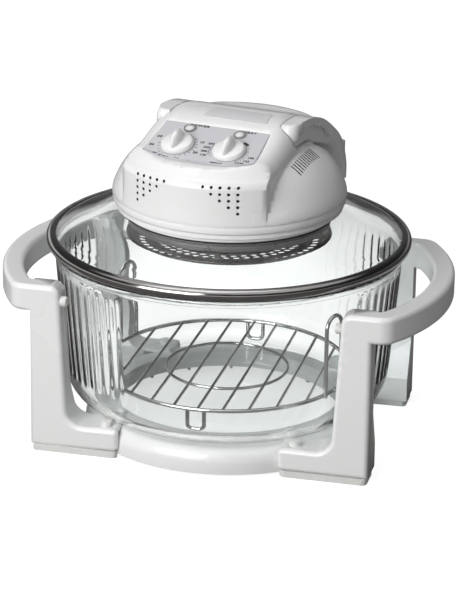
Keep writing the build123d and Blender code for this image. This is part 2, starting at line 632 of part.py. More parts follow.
def saddle(inset):
    """Long rounded body over the dome, cut at front and back by upright cylinders."""
    stations = [-HOUSING_RADIUS - 4, -70.0, -35.0, -8.0, 14.0, 40.0, 70.0, HOUSING_RADIUS + 4]
    body = loft([saddle_section(y, inset) for y in stations])
    soft = SADDLE_EDGE_ROUNDING
    front = SADDLE_FRONT_RADIUS - inset
    back = SADDLE_BACK_RADIUS - inset
    top_z = panel_z(-SADDLE_FRONT_RADIUS) - inset
    front_limit = turned(Line((0, HOUSING_BOTTOM - 2), (front, HOUSING_BOTTOM - 2)),
                         Line((front, HOUSING_BOTTOM - 2), (front, top_z - soft)),
                         ThreePointArc((front, top_z - soft), (front - 0.23 * soft, top_z - 0.38 * soft),
                                       (front - 0.8 * soft, top_z + 0.1 * soft)),
                         Line((front - 0.8 * soft, top_z + 0.1 * soft), (front - 40, top_z + 40)),
                         Line((front - 40, top_z + 40), (0, top_z + 40)),
                         Line((0, top_z + 40), (0, HOUSING_BOTTOM - 2)))
    back_height = DOME_HEIGHT + SADDLE_TOP - HOUSING_BOTTOM
    back_cut = extrude(Plane.XY.offset(HOUSING_BOTTOM - 2) * Circle(back), back_height)
    half_space = Box(4 * HOUSING_RADIUS, 2 * HOUSING_RADIUS, 2 * SADDLE_TOP)
    half_space = Location((0, HOUSING_RADIUS, SADDLE_TOP)) * half_space
    return (body & front_limit) - (half_space - back_cut)


def dome_radius(z, inset):
    """Radius of the dome at a height."""
    part = (z - HOUSING_BOTTOM) / (DOME_HEIGHT - inset)
    return (HOUSING_RADIUS - inset) * (1 - part ** DOME_FULLNESS) ** (1 / 2.0)


def bead_edge():
    """Half round of the bead along the bottom of the housing, and the step above it."""
    foot_radius = HOUSING_RADIUS - BEAD_STEP
    top = HOUSING_BOTTOM + BEAD_HEIGHT
    middle = (foot_radius + BEAD_SWELL, HOUSING_BOTTOM + BEAD_HEIGHT / 2)
    return [Line((0, HOUSING_BOTTOM), (foot_radius - BEAD_SWELL, HOUSING_BOTTOM)),
            ThreePointArc((foot_radius - BEAD_SWELL, HOUSING_BOTTOM), middle, (foot_radius, top)),
            Line((foot_radius, top), (dome_radius(top, 0), top))]


def dome(inset):
    """Round body of the housing: the outer skin stands on a bead, the inner ones run straight down."""
    low = HOUSING_BOTTOM if inset else HOUSING_BOTTOM + BEAD_HEIGHT
    crown = HOUSING_BOTTOM + DOME_HEIGHT - inset
    heights = [low + (crown - low) * f for f in (0, 0.2, 0.4, 0.6, 0.76, 0.88, 0.96)]
    points = [(dome_radius(z, inset), z) for z in heights]
    curve = Spline(*points, (0, crown), tangents=[(0, 1), (-1, 0)])
    foot = [Line((0, HOUSING_BOTTOM), points[0])] if inset else bead_edge()
    return turned(*foot, curve, Line((0, crown), (0, HOUSING_BOTTOM)))


def head_form(inset):
    return dome(inset) + saddle(inset)


def vent_holes():
    """Two triangles of round holes in the front wall."""
    holes = []
    for column in range(VENT_ROWS):
        for row in range(column + 1):
            x = VENT_FIRST_X + column * VENT_PITCH_X
            z = VENT_TOP_Z - row * VENT_PITCH_Z
            holes.append(rod((x, -SADDLE_FRONT_RADIUS - 5, z), (x, -70, z), VENT_HOLE_RADIUS))
    return [h for hole in holes for h in both_sides(hole)]


def louvres():
    """Narrow upright slots through each flank of the dome, under the handle arms."""
    slots = []
    for i in range(LOUVRES):
        y = LOUVRE_FIRST_Y + i * LOUVRE_PITCH
        slot = Box(LOUVRE_RUN, LOUVRE_WIDTH, LOUVRE_HEIGHT)
        slots.append(Location((LOUVRE_MIDDLE_X, y, LOUVRE_MIDDLE_Z)) * slot)
    return [s for slot in slots for s in both_sides(slot)]


def arm_outline(gap):
    """Side view of a handle arm: round hub at the pivot, a long arch and a turned-down end."""
    y, z = HANDLE_PIVOT_Y, HANDLE_PIVOT_Z
    hub = HANDLE_HUB + gap
    back_y = sqrt(HANDLE_BACK_RADIUS ** 2 - HANDLE_OUTER_X ** 2) + gap
    low = HANDLE_BACK_BOTTOM - gap
    flat = HANDLE_ARM_TOP + gap
    flat_y = y - sqrt(hub ** 2 - (flat - z) ** 2)
    inner_y = back_y - HANDLE_BACK_THICKNESS - 2 * gap
    top = Spline((flat_y, flat), (27, 294.5 + gap), (52, 287 + gap), (78, 272.5 + gap), (104, 250 + gap),
                 (back_y, 226), (back_y, low), tangents=[(1, 0.05), (0, -1)])
    under = Spline((inner_y, low), (inner_y - 5, 232 - gap), (84, 248 - gap), (61, 259.5 - gap),
                   (34, 268.5 - gap), (y, z - hub), tangents=[(0, 1), (-1, 0)])
    front = ThreePointArc((y, z - hub), (y - hub, z), (flat_y, flat))
    return make_face([top, Line((back_y, low), (inner_y, low)), under, front])


def handle_pocket():
    """Hollow in the outer side of an arm, open below and ended by an upright wall."""
    end = HANDLE_POCKET_END_Y
    face = make_face([Spline((-12, 280), (6, 289), (31, 286), (53, 278), (end - 2, 266)),
                      Line((end - 2, 266), (end + 4, 240)), Line((end + 4, 240), (-12, 240)),
                      Line((-12, 240), (-12, 280))])
    return extrude(Plane.YZ.offset(HANDLE_OUTER_X - HANDLE_POCKET) * face, 2 * HANDLE_POCKET)


def handle_arm():
    arm = extrude(Plane.YZ.offset(HANDLE_INNER_X) * arm_outline(0), HANDLE_OUTER_X - HANDLE_INNER_X)
    outer = [e for e in arm.edges() if abs(e.center().X - HANDLE_OUTER_X) < 0.01]
    crown = sorted(outer, key=lambda e: e.center().Z)[-1]
    return fillet([crown], HANDLE_SHOULDER) - handle_pocket()


def carry_handle():
    arm = handle_arm()
    inner_radius = HANDLE_BACK_RADIUS - HANDLE_BACK_THICKNESS
    back = ring(HANDLE_BACK_RADIUS, inner_radius, HANDLE_BACK_BOTTOM, HANDLE_BACK_TOP)
    back = fillet(back.edges(), HANDLE_ROUNDING)
    reach = 2 * (HANDLE_OUTER_X - HANDLE_ROUNDING)
    keep = Box(reach, HANDLE_BACK_RADIUS, HANDLE_BACK_TOP)
    keep = Location((0, HANDLE_BACK_RADIUS, HANDLE_BACK_TOP)) * keep
    return arm + mirror(arm, Plane.YZ) + (back & keep)


def pivot_pin():
    """Right pin: it turns with the handle in the housing's bore."""
    hub = (HANDLE_PIVOT_Y, HANDLE_PIVOT_Z)
    return rod((PIVOT_INNER_X, *hub), (HANDLE_OUTER_X - HANDLE_POCKET - 1, *hub), PIVOT_RADIUS)


def switch_cam():
    """Eccentric disc on the inner end of the left pin."""
    x = -PIVOT_INNER_X
    return rod((x, HANDLE_PIVOT_Y, HANDLE_PIVOT_Z + CAM_OFFSET),
               (x + CAM_WIDTH, HANDLE_PIVOT_Y, HANDLE_PIVOT_Z + CAM_OFFSET), CAM_RADIUS)


def handle_notch(gap):
    """Room for the right arm and its swing, to be cut from the housing's shoulder."""
    start = HANDLE_INNER_X - gap
    width = HANDLE_OUTER_X - HANDLE_INNER_X + 20
    at_rest = extrude(Plane.YZ.offset(start) * arm_outline(gap), width)
    sweep_up = Polyline((HANDLE_PIVOT_Y, HANDLE_PIVOT_Z), (HANDLE_BACK_RADIUS, HANDLE_BACK_BOTTOM),
                        (HANDLE_BACK_RADIUS, SADDLE_TOP + HANDLE_HUB),
                        (HANDLE_PIVOT_Y, SADDLE_TOP + HANDLE_HUB), close=True)
    above = extrude(Plane.YZ.offset(start) * make_face(sweep_up), width)
    return at_rest + above


def panel_face(margin):
    """Outline of the control panel on its own plane: local x across, local y up the slope."""
    slope = 1 / cos(radians(PANEL_SLOPE))
    middle_y = (PANEL_BACK_Y + PANEL_FRONT_Y) / 2
    back = (PANEL_BACK_Y - middle_y) * slope + margin
    front = (PANEL_FRONT_Y - middle_y) * slope - margin
    outline = [Line((-PANEL_BACK_HALF - margin, back), (PANEL_BACK_HALF + margin, back)),
               Line((PANEL_BACK_HALF + margin, back), (PANEL_FRONT_HALF + margin, front)),
               ThreePointArc((PANEL_FRONT_HALF + margin, front), (0, front - PANEL_FRONT_SAG),
                             (-PANEL_FRONT_HALF - margin, front)),
               Line((-PANEL_FRONT_HALF - margin, front), (-PANEL_BACK_HALF - margin, back))]
    return panel_place(0, middle_y) * make_face(outline)


def control_holes(spindle, lamp):
    holes = []
    for x in (-KNOB_X, KNOB_X):
        holes.append(panel_place(x, KNOB_Y, -20) * extrude(Circle(spindle), 40))
    for x in (-LAMP_X, LAMP_X):
        holes.append(panel_place(x, LAMP_Y, -20) * extrude(Circle(lamp), 40))
    return holes


def head_housing():
    """Upper shell of the head, with the notches, bores and vents of the real moulding."""
    skin = head_form(HOUSING_WALL / 2)
    body = head_form(0) - head_form(HOUSING_WALL)
    linings = both_sides(handle_notch(SLIP_GAP + HOUSING_WALL) & skin)
    bosses = [turn * housing_boss() & skin for turn in around(4, 45)]
    body = body + linings + bosses
    body -= both_sides(handle_notch(SLIP_GAP))
    body -= vent_holes()
    body -= louvres()
    body -= panel_recess()
    body -= control_holes(SPINDLE_RADIUS + 1.2, LAMP_BEZEL_RADIUS - 1.2)
    pivot = (HANDLE_PIVOT_Y, HANDLE_PIVOT_Z)
    body -= both_sides(rod((PIVOT_INNER_X, *pivot), (HANDLE_INNER_X + 2, *pivot), PIVOT_RADIUS + RUN_GAP))
    body -= gland_place() * extrude(Circle(GLAND_RADIUS), 30, both=True)
    screw_bore = extrude(Circle(HOUSING_SCREW_BORE), 26)
    screw_place = Location((HOUSING_SCREW_CIRCLE, 0, HOUSING_BOTTOM - 5))
    body -= [turn * screw_place * screw_bore for turn in around(4, 45)]
    body -= Location((0, 0, HOUSING_BOTTOM - 10)) * Box(4 * HOUSING_RADIUS, 4 * HOUSING_RADIUS, 20)
    return body.solids().sort_by(SortBy.VOLUME)[-1]


def gland_place():
    """Place on the back flank of the dome, with local +Z outwards."""
    radius = dome_radius(GLAND_Z, 0)
    x, y = radius * cos(radians(GLAND_ANGLE)), radius * sin(radians(GLAND_ANGLE))
    return Plane(origin=(x, y, GLAND_Z), z_dir=(x, y, 0)).location


def housing_boss():
    """Screw pillar that runs up into the flank of the housing."""
    return Location((HOUSING_SCREW_CIRCLE, 0, HOUSING_BOTTOM)) * extrude(Circle(BOSS_RADIUS), 45)


def panel_recess():
    return extrude(panel_face(0.2), -(PANEL_THICKNESS - PANEL_PROUD)) + extrude(panel_face(0.2), 3)


# ---------------------------------------------------------------- controls
def control_panel():
    face = panel_face(0)
    plate = extrude(face, PANEL_PROUD) + extrude(face, -(PANEL_THICKNESS - PANEL_PROUD))
    return plate - control_holes(SPINDLE_RADIUS + 1.0, LAMP_BEZEL_RADIUS - 1.2)


def knob(x):
    """Control knob: a round skirt with a half-moon grip standing across it."""
    skirt = extrude(Circle(KNOB_RADIUS), KNOB_SKIRT, taper=6)
    top_edge = skirt.edges().filter_by(GeomType.CIRCLE).sort_by(Axis.Z)[-1]
    skirt = fillet([top_edge], 2.0)
    half = KNOB_RADIUS - 3.0
    moon = make_face([Line((-half, 0), (half, 0)),
                      ThreePointArc((half, 0), (0, KNOB_GRIP_HEIGHT), (-half, 0))])
    blade = extrude(Plane.YZ.offset(-KNOB_GRIP_WIDTH / 2) * moon, KNOB_GRIP_WIDTH)
    crown = [e for e in blade.edges() if e.geom_type == GeomType.CIRCLE]
    blade = Location((0, 0, KNOB_SKIRT - 0.6)) * fillet(crown, 2.0)
    bore = extrude(Circle(SPINDLE_RADIUS), KNOB_SKIRT - 1)
    return panel_place(x, KNOB_Y, PANEL_PROUD + KNOB_LIFT) * (skirt + blade - bore)


def spindle(x):
    """Shaft from a knob down into its control, flush with the knob's blind bore."""
    bar = extrude(Circle(SPINDLE_RADIUS), SPINDLE_TOP + CONTROL_DEPTH)
    return panel_place(x, KNOB_Y, -CONTROL_DEPTH) * bar


def control_body(x, shape):
    """Timer or thermostat under the panel, with a running bore for its spindle."""
    block = panel_place(x, KNOB_Y, -CONTROL_DROP) * extrude(shape, -CONTROL_HEIGHT)
    neck = panel_place(x, KNOB_Y, -CONTROL_DROP) * extrude(Circle(SPINDLE_RADIUS + 1.0), 1.5)
    bore = panel_place(x, KNOB_Y, -40) * extrude(Circle(SPINDLE_RADIUS + RUN_GAP), 60)
    return block + neck - bore


def lamp_bezel(x):
    flange = extrude(Circle(LAMP_BEZEL_RADIUS), 1.2)
    barrel = extrude(Circle(LAMP_BEZEL_RADIUS - 1.3), -7)
    bore = Location((0, 0, -8)) * extrude(Circle(LAMP_LENS_RADIUS - 0.6), 12)
    return panel_place(x, LAMP_Y, PANEL_PROUD) * (flange + barrel - bore)


def lamp_lens(x):
    """Domed lens pushed into the bezel."""
    stem = Location((0, 0, -3)) * extrude(Circle(LAMP_LENS_RADIUS - 0.6), 4.2)
    cap_height = 1.6
    sphere_radius = (LAMP_LENS_RADIUS ** 2 + cap_height ** 2) / (2 * cap_height)
    cap = Location((0, 0, 1.2 + cap_height - sphere_radius)) * Sphere(sphere_radius)
    cap &= Location((0, 0, 1.2 + cap_height)) * Box(20, 20, 2 * cap_height)
    return panel_place(x, LAMP_Y, PANEL_PROUD) * (stem + cap)


def neon_lamp(x):
    glass = extrude(Circle(NEON_RADIUS), NEON_LENGTH)
    return panel_place(x, LAMP_Y, -NEON_LENGTH - 4.5) * glass


# ---------------------------------------------------------------- collar and heater
def collar():
    """Base of the head: outer ring on the glass, floor for the motor and spigot through the hole."""
    seat_radius = SADDLE_FRONT_RADIUS - HOUSING_WALL - SEAT_GAP
    outer = ring(COLLAR_RADIUS, COLLAR_RADIUS - COLLAR_WALL, COLLAR_BOTTOM, COLLAR_TOP)
    foot = ring(COLLAR_RADIUS, LID_HOLE_RADIUS + 1, COLLAR_BOTTOM, COLLAR_BOTTOM + 2)
    floor = ring(seat_radius, 12, HEAD_FLOOR_Z, HEAD_FLOOR_TOP)
    rib = ring(seat_radius, seat_radius - 2.4, HEAD_FLOOR_TOP, HOUSING_BOTTOM + 5)
    spigot = ring(SPIGOT_RADIUS, SPIGOT_RADIUS - SPIGOT_WALL, SPIGOT_BOTTOM, HEAD_FLOOR_TOP)
    body = outer + foot + floor + rib + spigot
    body -= both_sides(handle_notch(SLIP_GAP + HOUSING_WALL + SEAT_GAP))
    for turn in around(4, 45):
        hole_place = Location((SPIGOT_RADIUS - SPIGOT_WALL / 2, 0, SPIGOT_BOTTOM - 1))
        body -= turn * hole_place * extrude(Circle(CLAMP_SCREW_BORE), 9)
        screw_place = Location((HOUSING_SCREW_CIRCLE, 0, HEAD_FLOOR_Z - 5))
        body -= turn * screw_place * extrude(Circle(HOUSING_SCREW_HOLE), 20)
    for turn in around(12, 15):
        body -= turn * Location((COLLAR_SLOT_CIRCLE, 0, HEAD_FLOOR_Z)) * Box(*COLLAR_SLOT, 20)
    return body


def gasket(bottom, top):
    return ring(LID_SEAT_RADIUS - 3, LID_HOLE_RADIUS + 0.5, bottom, top)


def clamp_plate():
    """Steel plate that clamps the collar through the hole and carries the heater."""
    plate = ring(PLATE_RADIUS, 10, PLATE_Z, PLATE_Z + PLATE_SHEET)
    lip = ring(PLATE_RADIUS, PLATE_RADIUS - PLATE_SHEET, PLATE_Z, LID_SEAT_BOTTOM - GASKET)
    seat = LID_SEAT_BOTTOM - GASKET
    turn_in = ring(PLATE_RADIUS, LID_HOLE_RADIUS + 1, seat - PLATE_SHEET, seat)
    body = plate + lip + turn_in
    for turn in around(4, 45):
        hole_place = Location((SPIGOT_RADIUS - SPIGOT_WALL / 2, 0, PLATE_Z - 1))
        body -= turn * hole_place * extrude(Circle(CLAMP_SCREW_HOLE), 4)
    for x in cap_places():
        body -= x * Location((0, 0, PLATE_Z - 5)) * extrude(Circle(CAP_RADIUS - 1.5), 12)
    return body


def clamp_screw():
    place = Location((SPIGOT_RADIUS - SPIGOT_WALL / 2, 0, PLATE_Z))
    head = place * extrude(Circle(CLAMP_SCREW_HEAD), -CLAMP_SCREW_HEAD_HEIGHT)
    shank = place * extrude(Circle(CLAMP_SCREW_RADIUS), CLAMP_SCREW_LENGTH)
    slot = place * Location((0, 0, -CLAMP_SCREW_HEAD_HEIGHT)) * Box(4, 0.7, 1.2)
    return head + shank - slot


def insulation():
    """Mineral board over the clamp plate, with room for the lamp ends."""
    board = ring(SPIGOT_RADIUS - SPIGOT_WALL - 0.5, 12, PLATE_Z + PLATE_SHEET,
                 PLATE_Z + PLATE_SHEET + INSULATION_THICKNESS)
    for place in cap_places():
        board -= place * Location((0, 0, PLATE_Z)) * extrude(Circle(CAP_RADIUS + 0.3), 20)
    return board


def cap_places():
    """The two ends of the ring lamp, at the back of the head."""
    return [Location((LAMP_RING_RADIUS * sin(radians(a)), LAMP_RING_RADIUS * cos(radians(a)), 0))
            for a in (-LAMP_GAP_ANGLE / 2, LAMP_GAP_ANGLE / 2)]


def halogen_lamp():
    """Quartz ring lamp with two upright ends."""
    start = Location((0, 0, 0), (0, 0, 90 + LAMP_GAP_ANGLE / 2))
    section = Plane.XZ * Location((LAMP_RING_RADIUS, LAMP_TUBE_Z)) * Circle(LAMP_TUBE_RADIUS)
    tube = start * revolve(section, Axis.Z, 360 - LAMP_GAP_ANGLE)
    ends = []
    for place in cap_places():
        rise = extrude(Circle(LAMP_TUBE_RADIUS), PLATE_Z - LAMP_TUBE_Z + 2)
        ends.append(place * Location((0, 0, LAMP_TUBE_Z)) * rise)
        ends.append(place * Location((0, 0, LAMP_TUBE_Z)) * Sphere(LAMP_TUBE_RADIUS))
    return tube + ends


def lamp_cap(place):
    """Ceramic end cap seated on the clamp plate."""
    top = PLATE_Z + PLATE_SHEET + CAP_HEIGHT
    cap = place * Location((0, 0, PLATE_Z + PLATE_SHEET)) * extrude(Circle(CAP_RADIUS), CAP_HEIGHT)
    pocket = place * Location((0, 0, PLATE_Z)) * extrude(Circle(LAMP_TUBE_RADIUS + 0.05), 2.1)
    pin = place * Location((0, 0, top)) * extrude(Circle(1.2), 1.6)
    return cap - pocket + pin


def lamp_clip(angle):
    """Steel strap that hangs from the clamp plate and holds the tube."""
    outer = LAMP_TUBE_RADIUS + RUN_GAP + CLIP_SHEET
    eye = Circle(outer) - Circle(LAMP_TUBE_RADIUS + RUN_GAP)
    hoop_plane = Plane.XZ.offset(-CLIP_WIDTH / 2)
    hoop = extrude(hoop_plane * Location((LAMP_RING_RADIUS, LAMP_TUBE_Z)) * eye, CLIP_WIDTH)
    strap_height = PLATE_Z - LAMP_TUBE_Z - LAMP_TUBE_RADIUS - 0.5
    strap = Box(CLIP_SHEET, CLIP_WIDTH, strap_height)
    strap = Location((LAMP_RING_RADIUS, 0, PLATE_Z - strap_height / 2)) * strap
    tab = Location((LAMP_RING_RADIUS, 0, PLATE_Z - CLIP_SHEET / 2)) * Box(8, CLIP_WIDTH, CLIP_SHEET)
    return Location((0, 0, 0), (0, 0, angle)) * (hoop + strap + tab)


def heater_guard():
    """Shallow pressed dish with rings of punched holes, hung under the lamp and the fan."""
    t = GUARD_SHEET
    low, top = GUARD_FLOOR_Z, GUARD_TOP
    foot, lip = GUARD_FLOOR_RADIUS, GUARD_RADIUS - GUARD_LIP
    dish = lathe((0, low), (foot - 1.5, low), (foot, low + 1), (lip, top - 1.5), (GUARD_RADIUS, top - 1.5),
                 (GUARD_RADIUS, top), (lip - t, top), (foot - t, low + 1 + t),
                 (foot - 1.5 - t / 2, low + t), (0, low + t))
    cuts = []
    for radius, count in GUARD_ROWS:
        hole = Location((radius, 0, low - t)) * extrude(RegularPolygon(GUARD_HOLE, 6), 3 * t)
        cuts += [turn * hole for turn in around(count)]
    for turn in around(3, 45):
        cuts.append(turn * Location((PILLAR_CIRCLE, 0, low)) * Cylinder(GUARD_SCREW_HOLE, 6))
    return dish - cuts


def guard_pillar():
    return Location((PILLAR_CIRCLE, 0, GUARD_FLOOR_Z + GUARD_SHEET)) * extrude(
        Circle(PILLAR_RADIUS), PLATE_Z - GUARD_FLOOR_Z - GUARD_SHEET)


def guard_screw():
    place = Location((PILLAR_CIRCLE, 0, GUARD_FLOOR_Z))
    head = extrude(Circle(GUARD_SCREW_HEAD), -GUARD_SCREW_HEAD_HEIGHT)
    return place * head + place * extrude(Circle(GUARD_SCREW_RADIUS), GUARD_SHEET)


# ---------------------------------------------------------------- motor and fans
def motor():
    """Shaded-pole motor: laminated frame, bearing caps and a coil at one side."""
    frame = Location((0, 0, MOTOR_Z)) * extrude(RectangleRounded(MOTOR_WIDTH, MOTOR_DEPTH, 4), MOTOR_HEIGHT)
    cap = ring(16, SHAFT_RADIUS + RUN_GAP, MOTOR_Z - 5, MOTOR_Z + MOTOR_HEIGHT + 5)
    coil = Box(18, MOTOR_DEPTH - 14, MOTOR_HEIGHT + 12)
    coil = Location((MOTOR_WIDTH / 2 - 6, 0, MOTOR_Z + MOTOR_HEIGHT / 2)) * coil
    bore = extrude(Plane.XY.offset(MOTOR_Z - 6) * Circle(SHAFT_RADIUS + RUN_GAP), MOTOR_HEIGHT + 14)
    return frame + cap + coil - bore


def motor_bracket():
    """Two steel angles that lift the motor off the floor of the head."""
    height = MOTOR_Z - HEAD_FLOOR_TOP
    upright = Box(BRACKET_WIDTH, BRACKET_SHEET, height)
    upright = Location((0, BRACKET_Y, HEAD_FLOOR_TOP + height / 2)) * upright
    tab = Location((0, BRACKET_Y + BRACKET_WIDTH / 2, HEAD_FLOOR_TOP + BRACKET_SHEET / 2)) * Box(
        BRACKET_WIDTH, BRACKET_WIDTH, BRACKET_SHEET)
    angle = upright + tab
    return [angle, mirror(angle, Plane.XZ)]


def shaft():
    return Location((0, 0, SHAFT_BOTTOM)) * extrude(Circle(SHAFT_RADIUS), SHAFT_TOP - SHAFT_BOTTOM)


def fan(radius, z, blades, height, pitch):
    """Hub, thin web and flat blades on a shaft."""
    hub = ring(HUB_RADIUS, SHAFT_RADIUS, z, z + height)
    web = ring(radius * 0.6, HUB_RADIUS - 1, z + height - FAN_SHEET, z + height)
    body = hub + web
    blade_length = radius - HUB_RADIUS + 1
    blade = Location((HUB_RADIUS - 1 + blade_length / 2, 0, z + height / 2), (pitch, 0, 0)) * Box(
        blade_length, FAN_SHEET, height)
    return body + [turn * blade for turn in around(blades)]


# ---------------------------------------------------------------- switch, wiring and screws
def safety_switch():
    """Micro-switch below the cam, with a bore for its plunger."""
    place = Location((SWITCH_X, HANDLE_PIVOT_Y, SWITCH_TOP))
    box = place * Location((0, 0, -SWITCH_HEIGHT / 2)) * Box(SWITCH_WIDTH, SWITCH_LENGTH, SWITCH_HEIGHT)
    return box - place * extrude(Circle(SWITCH_PLUNGER_RADIUS + RUN_GAP), 3 - SWITCH_HEIGHT)


def switch_plunger():
    place = Location((SWITCH_X, HANDLE_PIVOT_Y, SWITCH_TOP - 5))
    return place * extrude(Circle(SWITCH_PLUNGER_RADIUS), SWITCH_PLUNGER + 5)


def switch_bracket():
    """Ledge that carries the switch from the lining of the left notch."""
    inner = SWITCH_X + SWITCH_WIDTH / 2
    outer = -(NOTCH_X - HOUSING_WALL)
    return Location(((inner + outer) / 2, HANDLE_PIVOT_Y, SWITCH_TOP - SWITCH_HEIGHT - 1)) * Box(
        inner - outer, SWITCH_LENGTH, 2)


def terminal_block():
    width, depth, height = TERMINAL_SIZE
    base = Location((0, TERMINAL_Y, HEAD_FLOOR_TOP + height / 2)) * Box(width, depth, height)
    for i in range(TERMINALS):
        x = (i - (TERMINALS - 1) / 2) * TERMINAL_PITCH
        base -= Location((x, TERMINAL_Y, HEAD_FLOOR_TOP + height)) * Box(6, 10, 8)
    return base


def cord_gland():
    """Strain-relief bush in the back flank, ready for a mains lead."""
    barrel = extrude(Circle(GLAND_RADIUS), -9)
    collar_face = Location((0, 0, 0.8)) * extrude(Circle(GLAND_RADIUS + 2.5), 2.2)
    snout = extrude(Circle(GLAND_RADIUS), 9, taper=8)
    bore = Location((0, 0, -10)) * extrude(Circle(GLAND_BORE), 22)
    return gland_place() * (barrel + snout + collar_face - bore)


def housing_screw():
    place = Location((HOUSING_SCREW_CIRCLE, 0, HEAD_FLOOR_Z))
    shank = extrude(Circle(HOUSING_SCREW_RADIUS), HOUSING_SCREW_LENGTH)
    return place * extrude(Circle(HOUSING_SCREW_HEAD), -2.0) + place * shank


# ---------------------------------------------------------------- parts
os.makedirs("parts", exist_ok=True)

right_frame = handle_frame()
save("left_handle_frame", mirror(right_frame, Plane.YZ))
save("right_handle_frame", right_frame)
save("base_ring", base_ring())
save("foot_pads", *four_corners(foot_pad()))
save("bowl_posts", *four_corners(bowl_post()))
save("bowl_bumpers", *four_corners(bumper() - right_frame))
save("frame_screws", *four_corners(frame_screw()))

save("glass_bowl", bowl())
save("rack_grid", rack_grid())
save("rack_feet", *rack_feet())
save("rack_loops", *rack_loops())

glass = lid_glass()
save("lid_glass", glass)
save("lid_rim", lid_rim(glass))
save("upper_gasket", gasket(LID_SEAT_TOP, COLLAR_BOTTOM))
save("lower_gasket", gasket(LID_SEAT_BOTTOM - GASKET, LID_SEAT_BOTTOM))
save_in_head("head_collar", collar())
save_in_head("clamp_plate", clamp_plate())
save_in_head("clamp_screws", *[turn * clamp_screw() for turn in around(4, 45)])
save_in_head("insulation_board", insulation())

housing = head_housing()
save_in_head("head_housing", housing)
save_in_head("housing_screws", *[turn * housing_screw() for turn in around(4, 45)])
save_in_head("cord_gland", cord_gland() - housing)
save_in_head("control_panel", control_panel())
save_in_head("lamp_bezels", *[lamp_bezel(x) for x in (-LAMP_X, LAMP_X)])
save_in_head("lamp_lenses", *[lamp_lens(x) for x in (-LAMP_X, LAMP_X)])
save_in_head("neon_lamps", *[neon_lamp(x) for x in (-LAMP_X, LAMP_X)])
save_in_head("time_knob", knob(-KNOB_X))
save_in_head("time_spindle", spindle(-KNOB_X))
save_in_head("timer", control_body(-KNOB_X, Rectangle(*TIMER_SIZE)))
save_in_head("heat_knob", knob(KNOB_X))
save_in_head("heat_spindle", spindle(KNOB_X))
save_in_head("thermostat", control_body(KNOB_X, Rectangle(*THERMOSTAT_SIZE)))

right_pin = pivot_pin()
save_in_head("carry_handle", carry_handle() - both_sides(right_pin))
save_in_head("pivot_pins", right_pin, mirror(right_pin, Plane.YZ) + switch_cam())
save_in_head("safety_switch", safety_switch())
save_in_head("switch_plunger", switch_plunger())
save_in_head("switch_bracket", switch_bracket())

save_in_head("motor", motor())
save_in_head("motor_bracket", *motor_bracket())
save_in_head("motor_shaft", shaft())
save_in_head("cooling_fan", fan(COOL_FAN_RADIUS, COOL_FAN_Z, COOL_FAN_BLADES, 8.0, 35))
save_in_head("convection_fan", fan(FAN_RADIUS, FAN_Z, FAN_BLADES, FAN_BLADE_HEIGHT, 0))
save_in_head("terminal_block", terminal_block())

save_in_head("halogen_lamp", halogen_lamp())
save_in_head("lamp_caps", *[lamp_cap(place) for place in cap_places()])
save_in_head("lamp_clips", *[lamp_clip(angle) for angle in (210, 270, 330)])
save_in_head("heater_guard", heater_guard())
save_in_head("guard_pillars", *[turn * guard_pillar() for turn in around(3, 45)])
save_in_head("guard_screws", *[turn * guard_screw() for turn in around(3, 45)])
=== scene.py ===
import math

import bmesh
import bpy
from mathutils import Matrix, Quaternion, Vector
from mathutils.bvhtree import BVHTree


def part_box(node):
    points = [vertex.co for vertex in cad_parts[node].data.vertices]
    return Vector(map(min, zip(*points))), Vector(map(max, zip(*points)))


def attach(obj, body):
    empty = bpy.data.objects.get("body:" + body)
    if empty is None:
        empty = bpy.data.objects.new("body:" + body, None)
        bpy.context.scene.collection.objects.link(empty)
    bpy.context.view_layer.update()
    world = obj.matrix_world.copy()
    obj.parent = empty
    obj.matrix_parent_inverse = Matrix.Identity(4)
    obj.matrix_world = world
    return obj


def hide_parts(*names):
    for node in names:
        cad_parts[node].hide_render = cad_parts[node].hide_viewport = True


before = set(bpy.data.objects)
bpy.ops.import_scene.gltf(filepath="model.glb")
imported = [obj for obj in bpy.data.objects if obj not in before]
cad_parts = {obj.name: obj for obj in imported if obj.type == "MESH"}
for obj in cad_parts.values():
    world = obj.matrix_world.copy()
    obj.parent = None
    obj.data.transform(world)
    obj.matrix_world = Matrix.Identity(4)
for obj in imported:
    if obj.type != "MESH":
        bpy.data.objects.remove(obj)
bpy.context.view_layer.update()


# ------------------------------------------------ bench, lights and camera
# A white bench top runs away into a white surround.  One broad soft box stands at the front left
# and a weaker one hangs above; the surround gives an even fill and pale and dark bands to reflect.
bpy.context.scene.view_settings.view_transform = "Standard"


def show(item):
    """Put an object into the scene."""
    bpy.context.scene.collection.objects.link(item)
    return item


def join(tree, *pairs):
    """Link several (output, input) pairs of one node tree."""
    for out_socket, in_socket in pairs:
        tree.links.new(out_socket, in_socket)


def straight_look(tree):
    """1 for what is seen directly or through clear glass, 0 for what a surface throws back."""
    path = tree.nodes.new("ShaderNodeLightPath")
    bounces = tree.nodes.new("ShaderNodeMath")
    unbroken = tree.nodes.new("ShaderNodeMath")
    unbroken.operation = "LESS_THAN"
    unbroken.inputs[1].default_value = 0.5      # fewer than one bounce
    through = tree.nodes.new("ShaderNodeMath")
    through.operation = "MULTIPLY"
    seen = tree.nodes.new("ShaderNodeMath")
    seen.operation = "MAXIMUM"
    join(tree, (path.outputs["Glossy Depth"], bounces.inputs[0]),
         (path.outputs["Diffuse Depth"], bounces.inputs[1]),
         (bounces.outputs[0], unbroken.inputs[0]),
         (unbroken.outputs[0], through.inputs[0]),
         (path.outputs["Is Transmission Ray"], through.inputs[1]),
         (path.outputs["Is Camera Ray"], seen.inputs[0]),
         (through.outputs[0], seen.inputs[1]))
    return seen


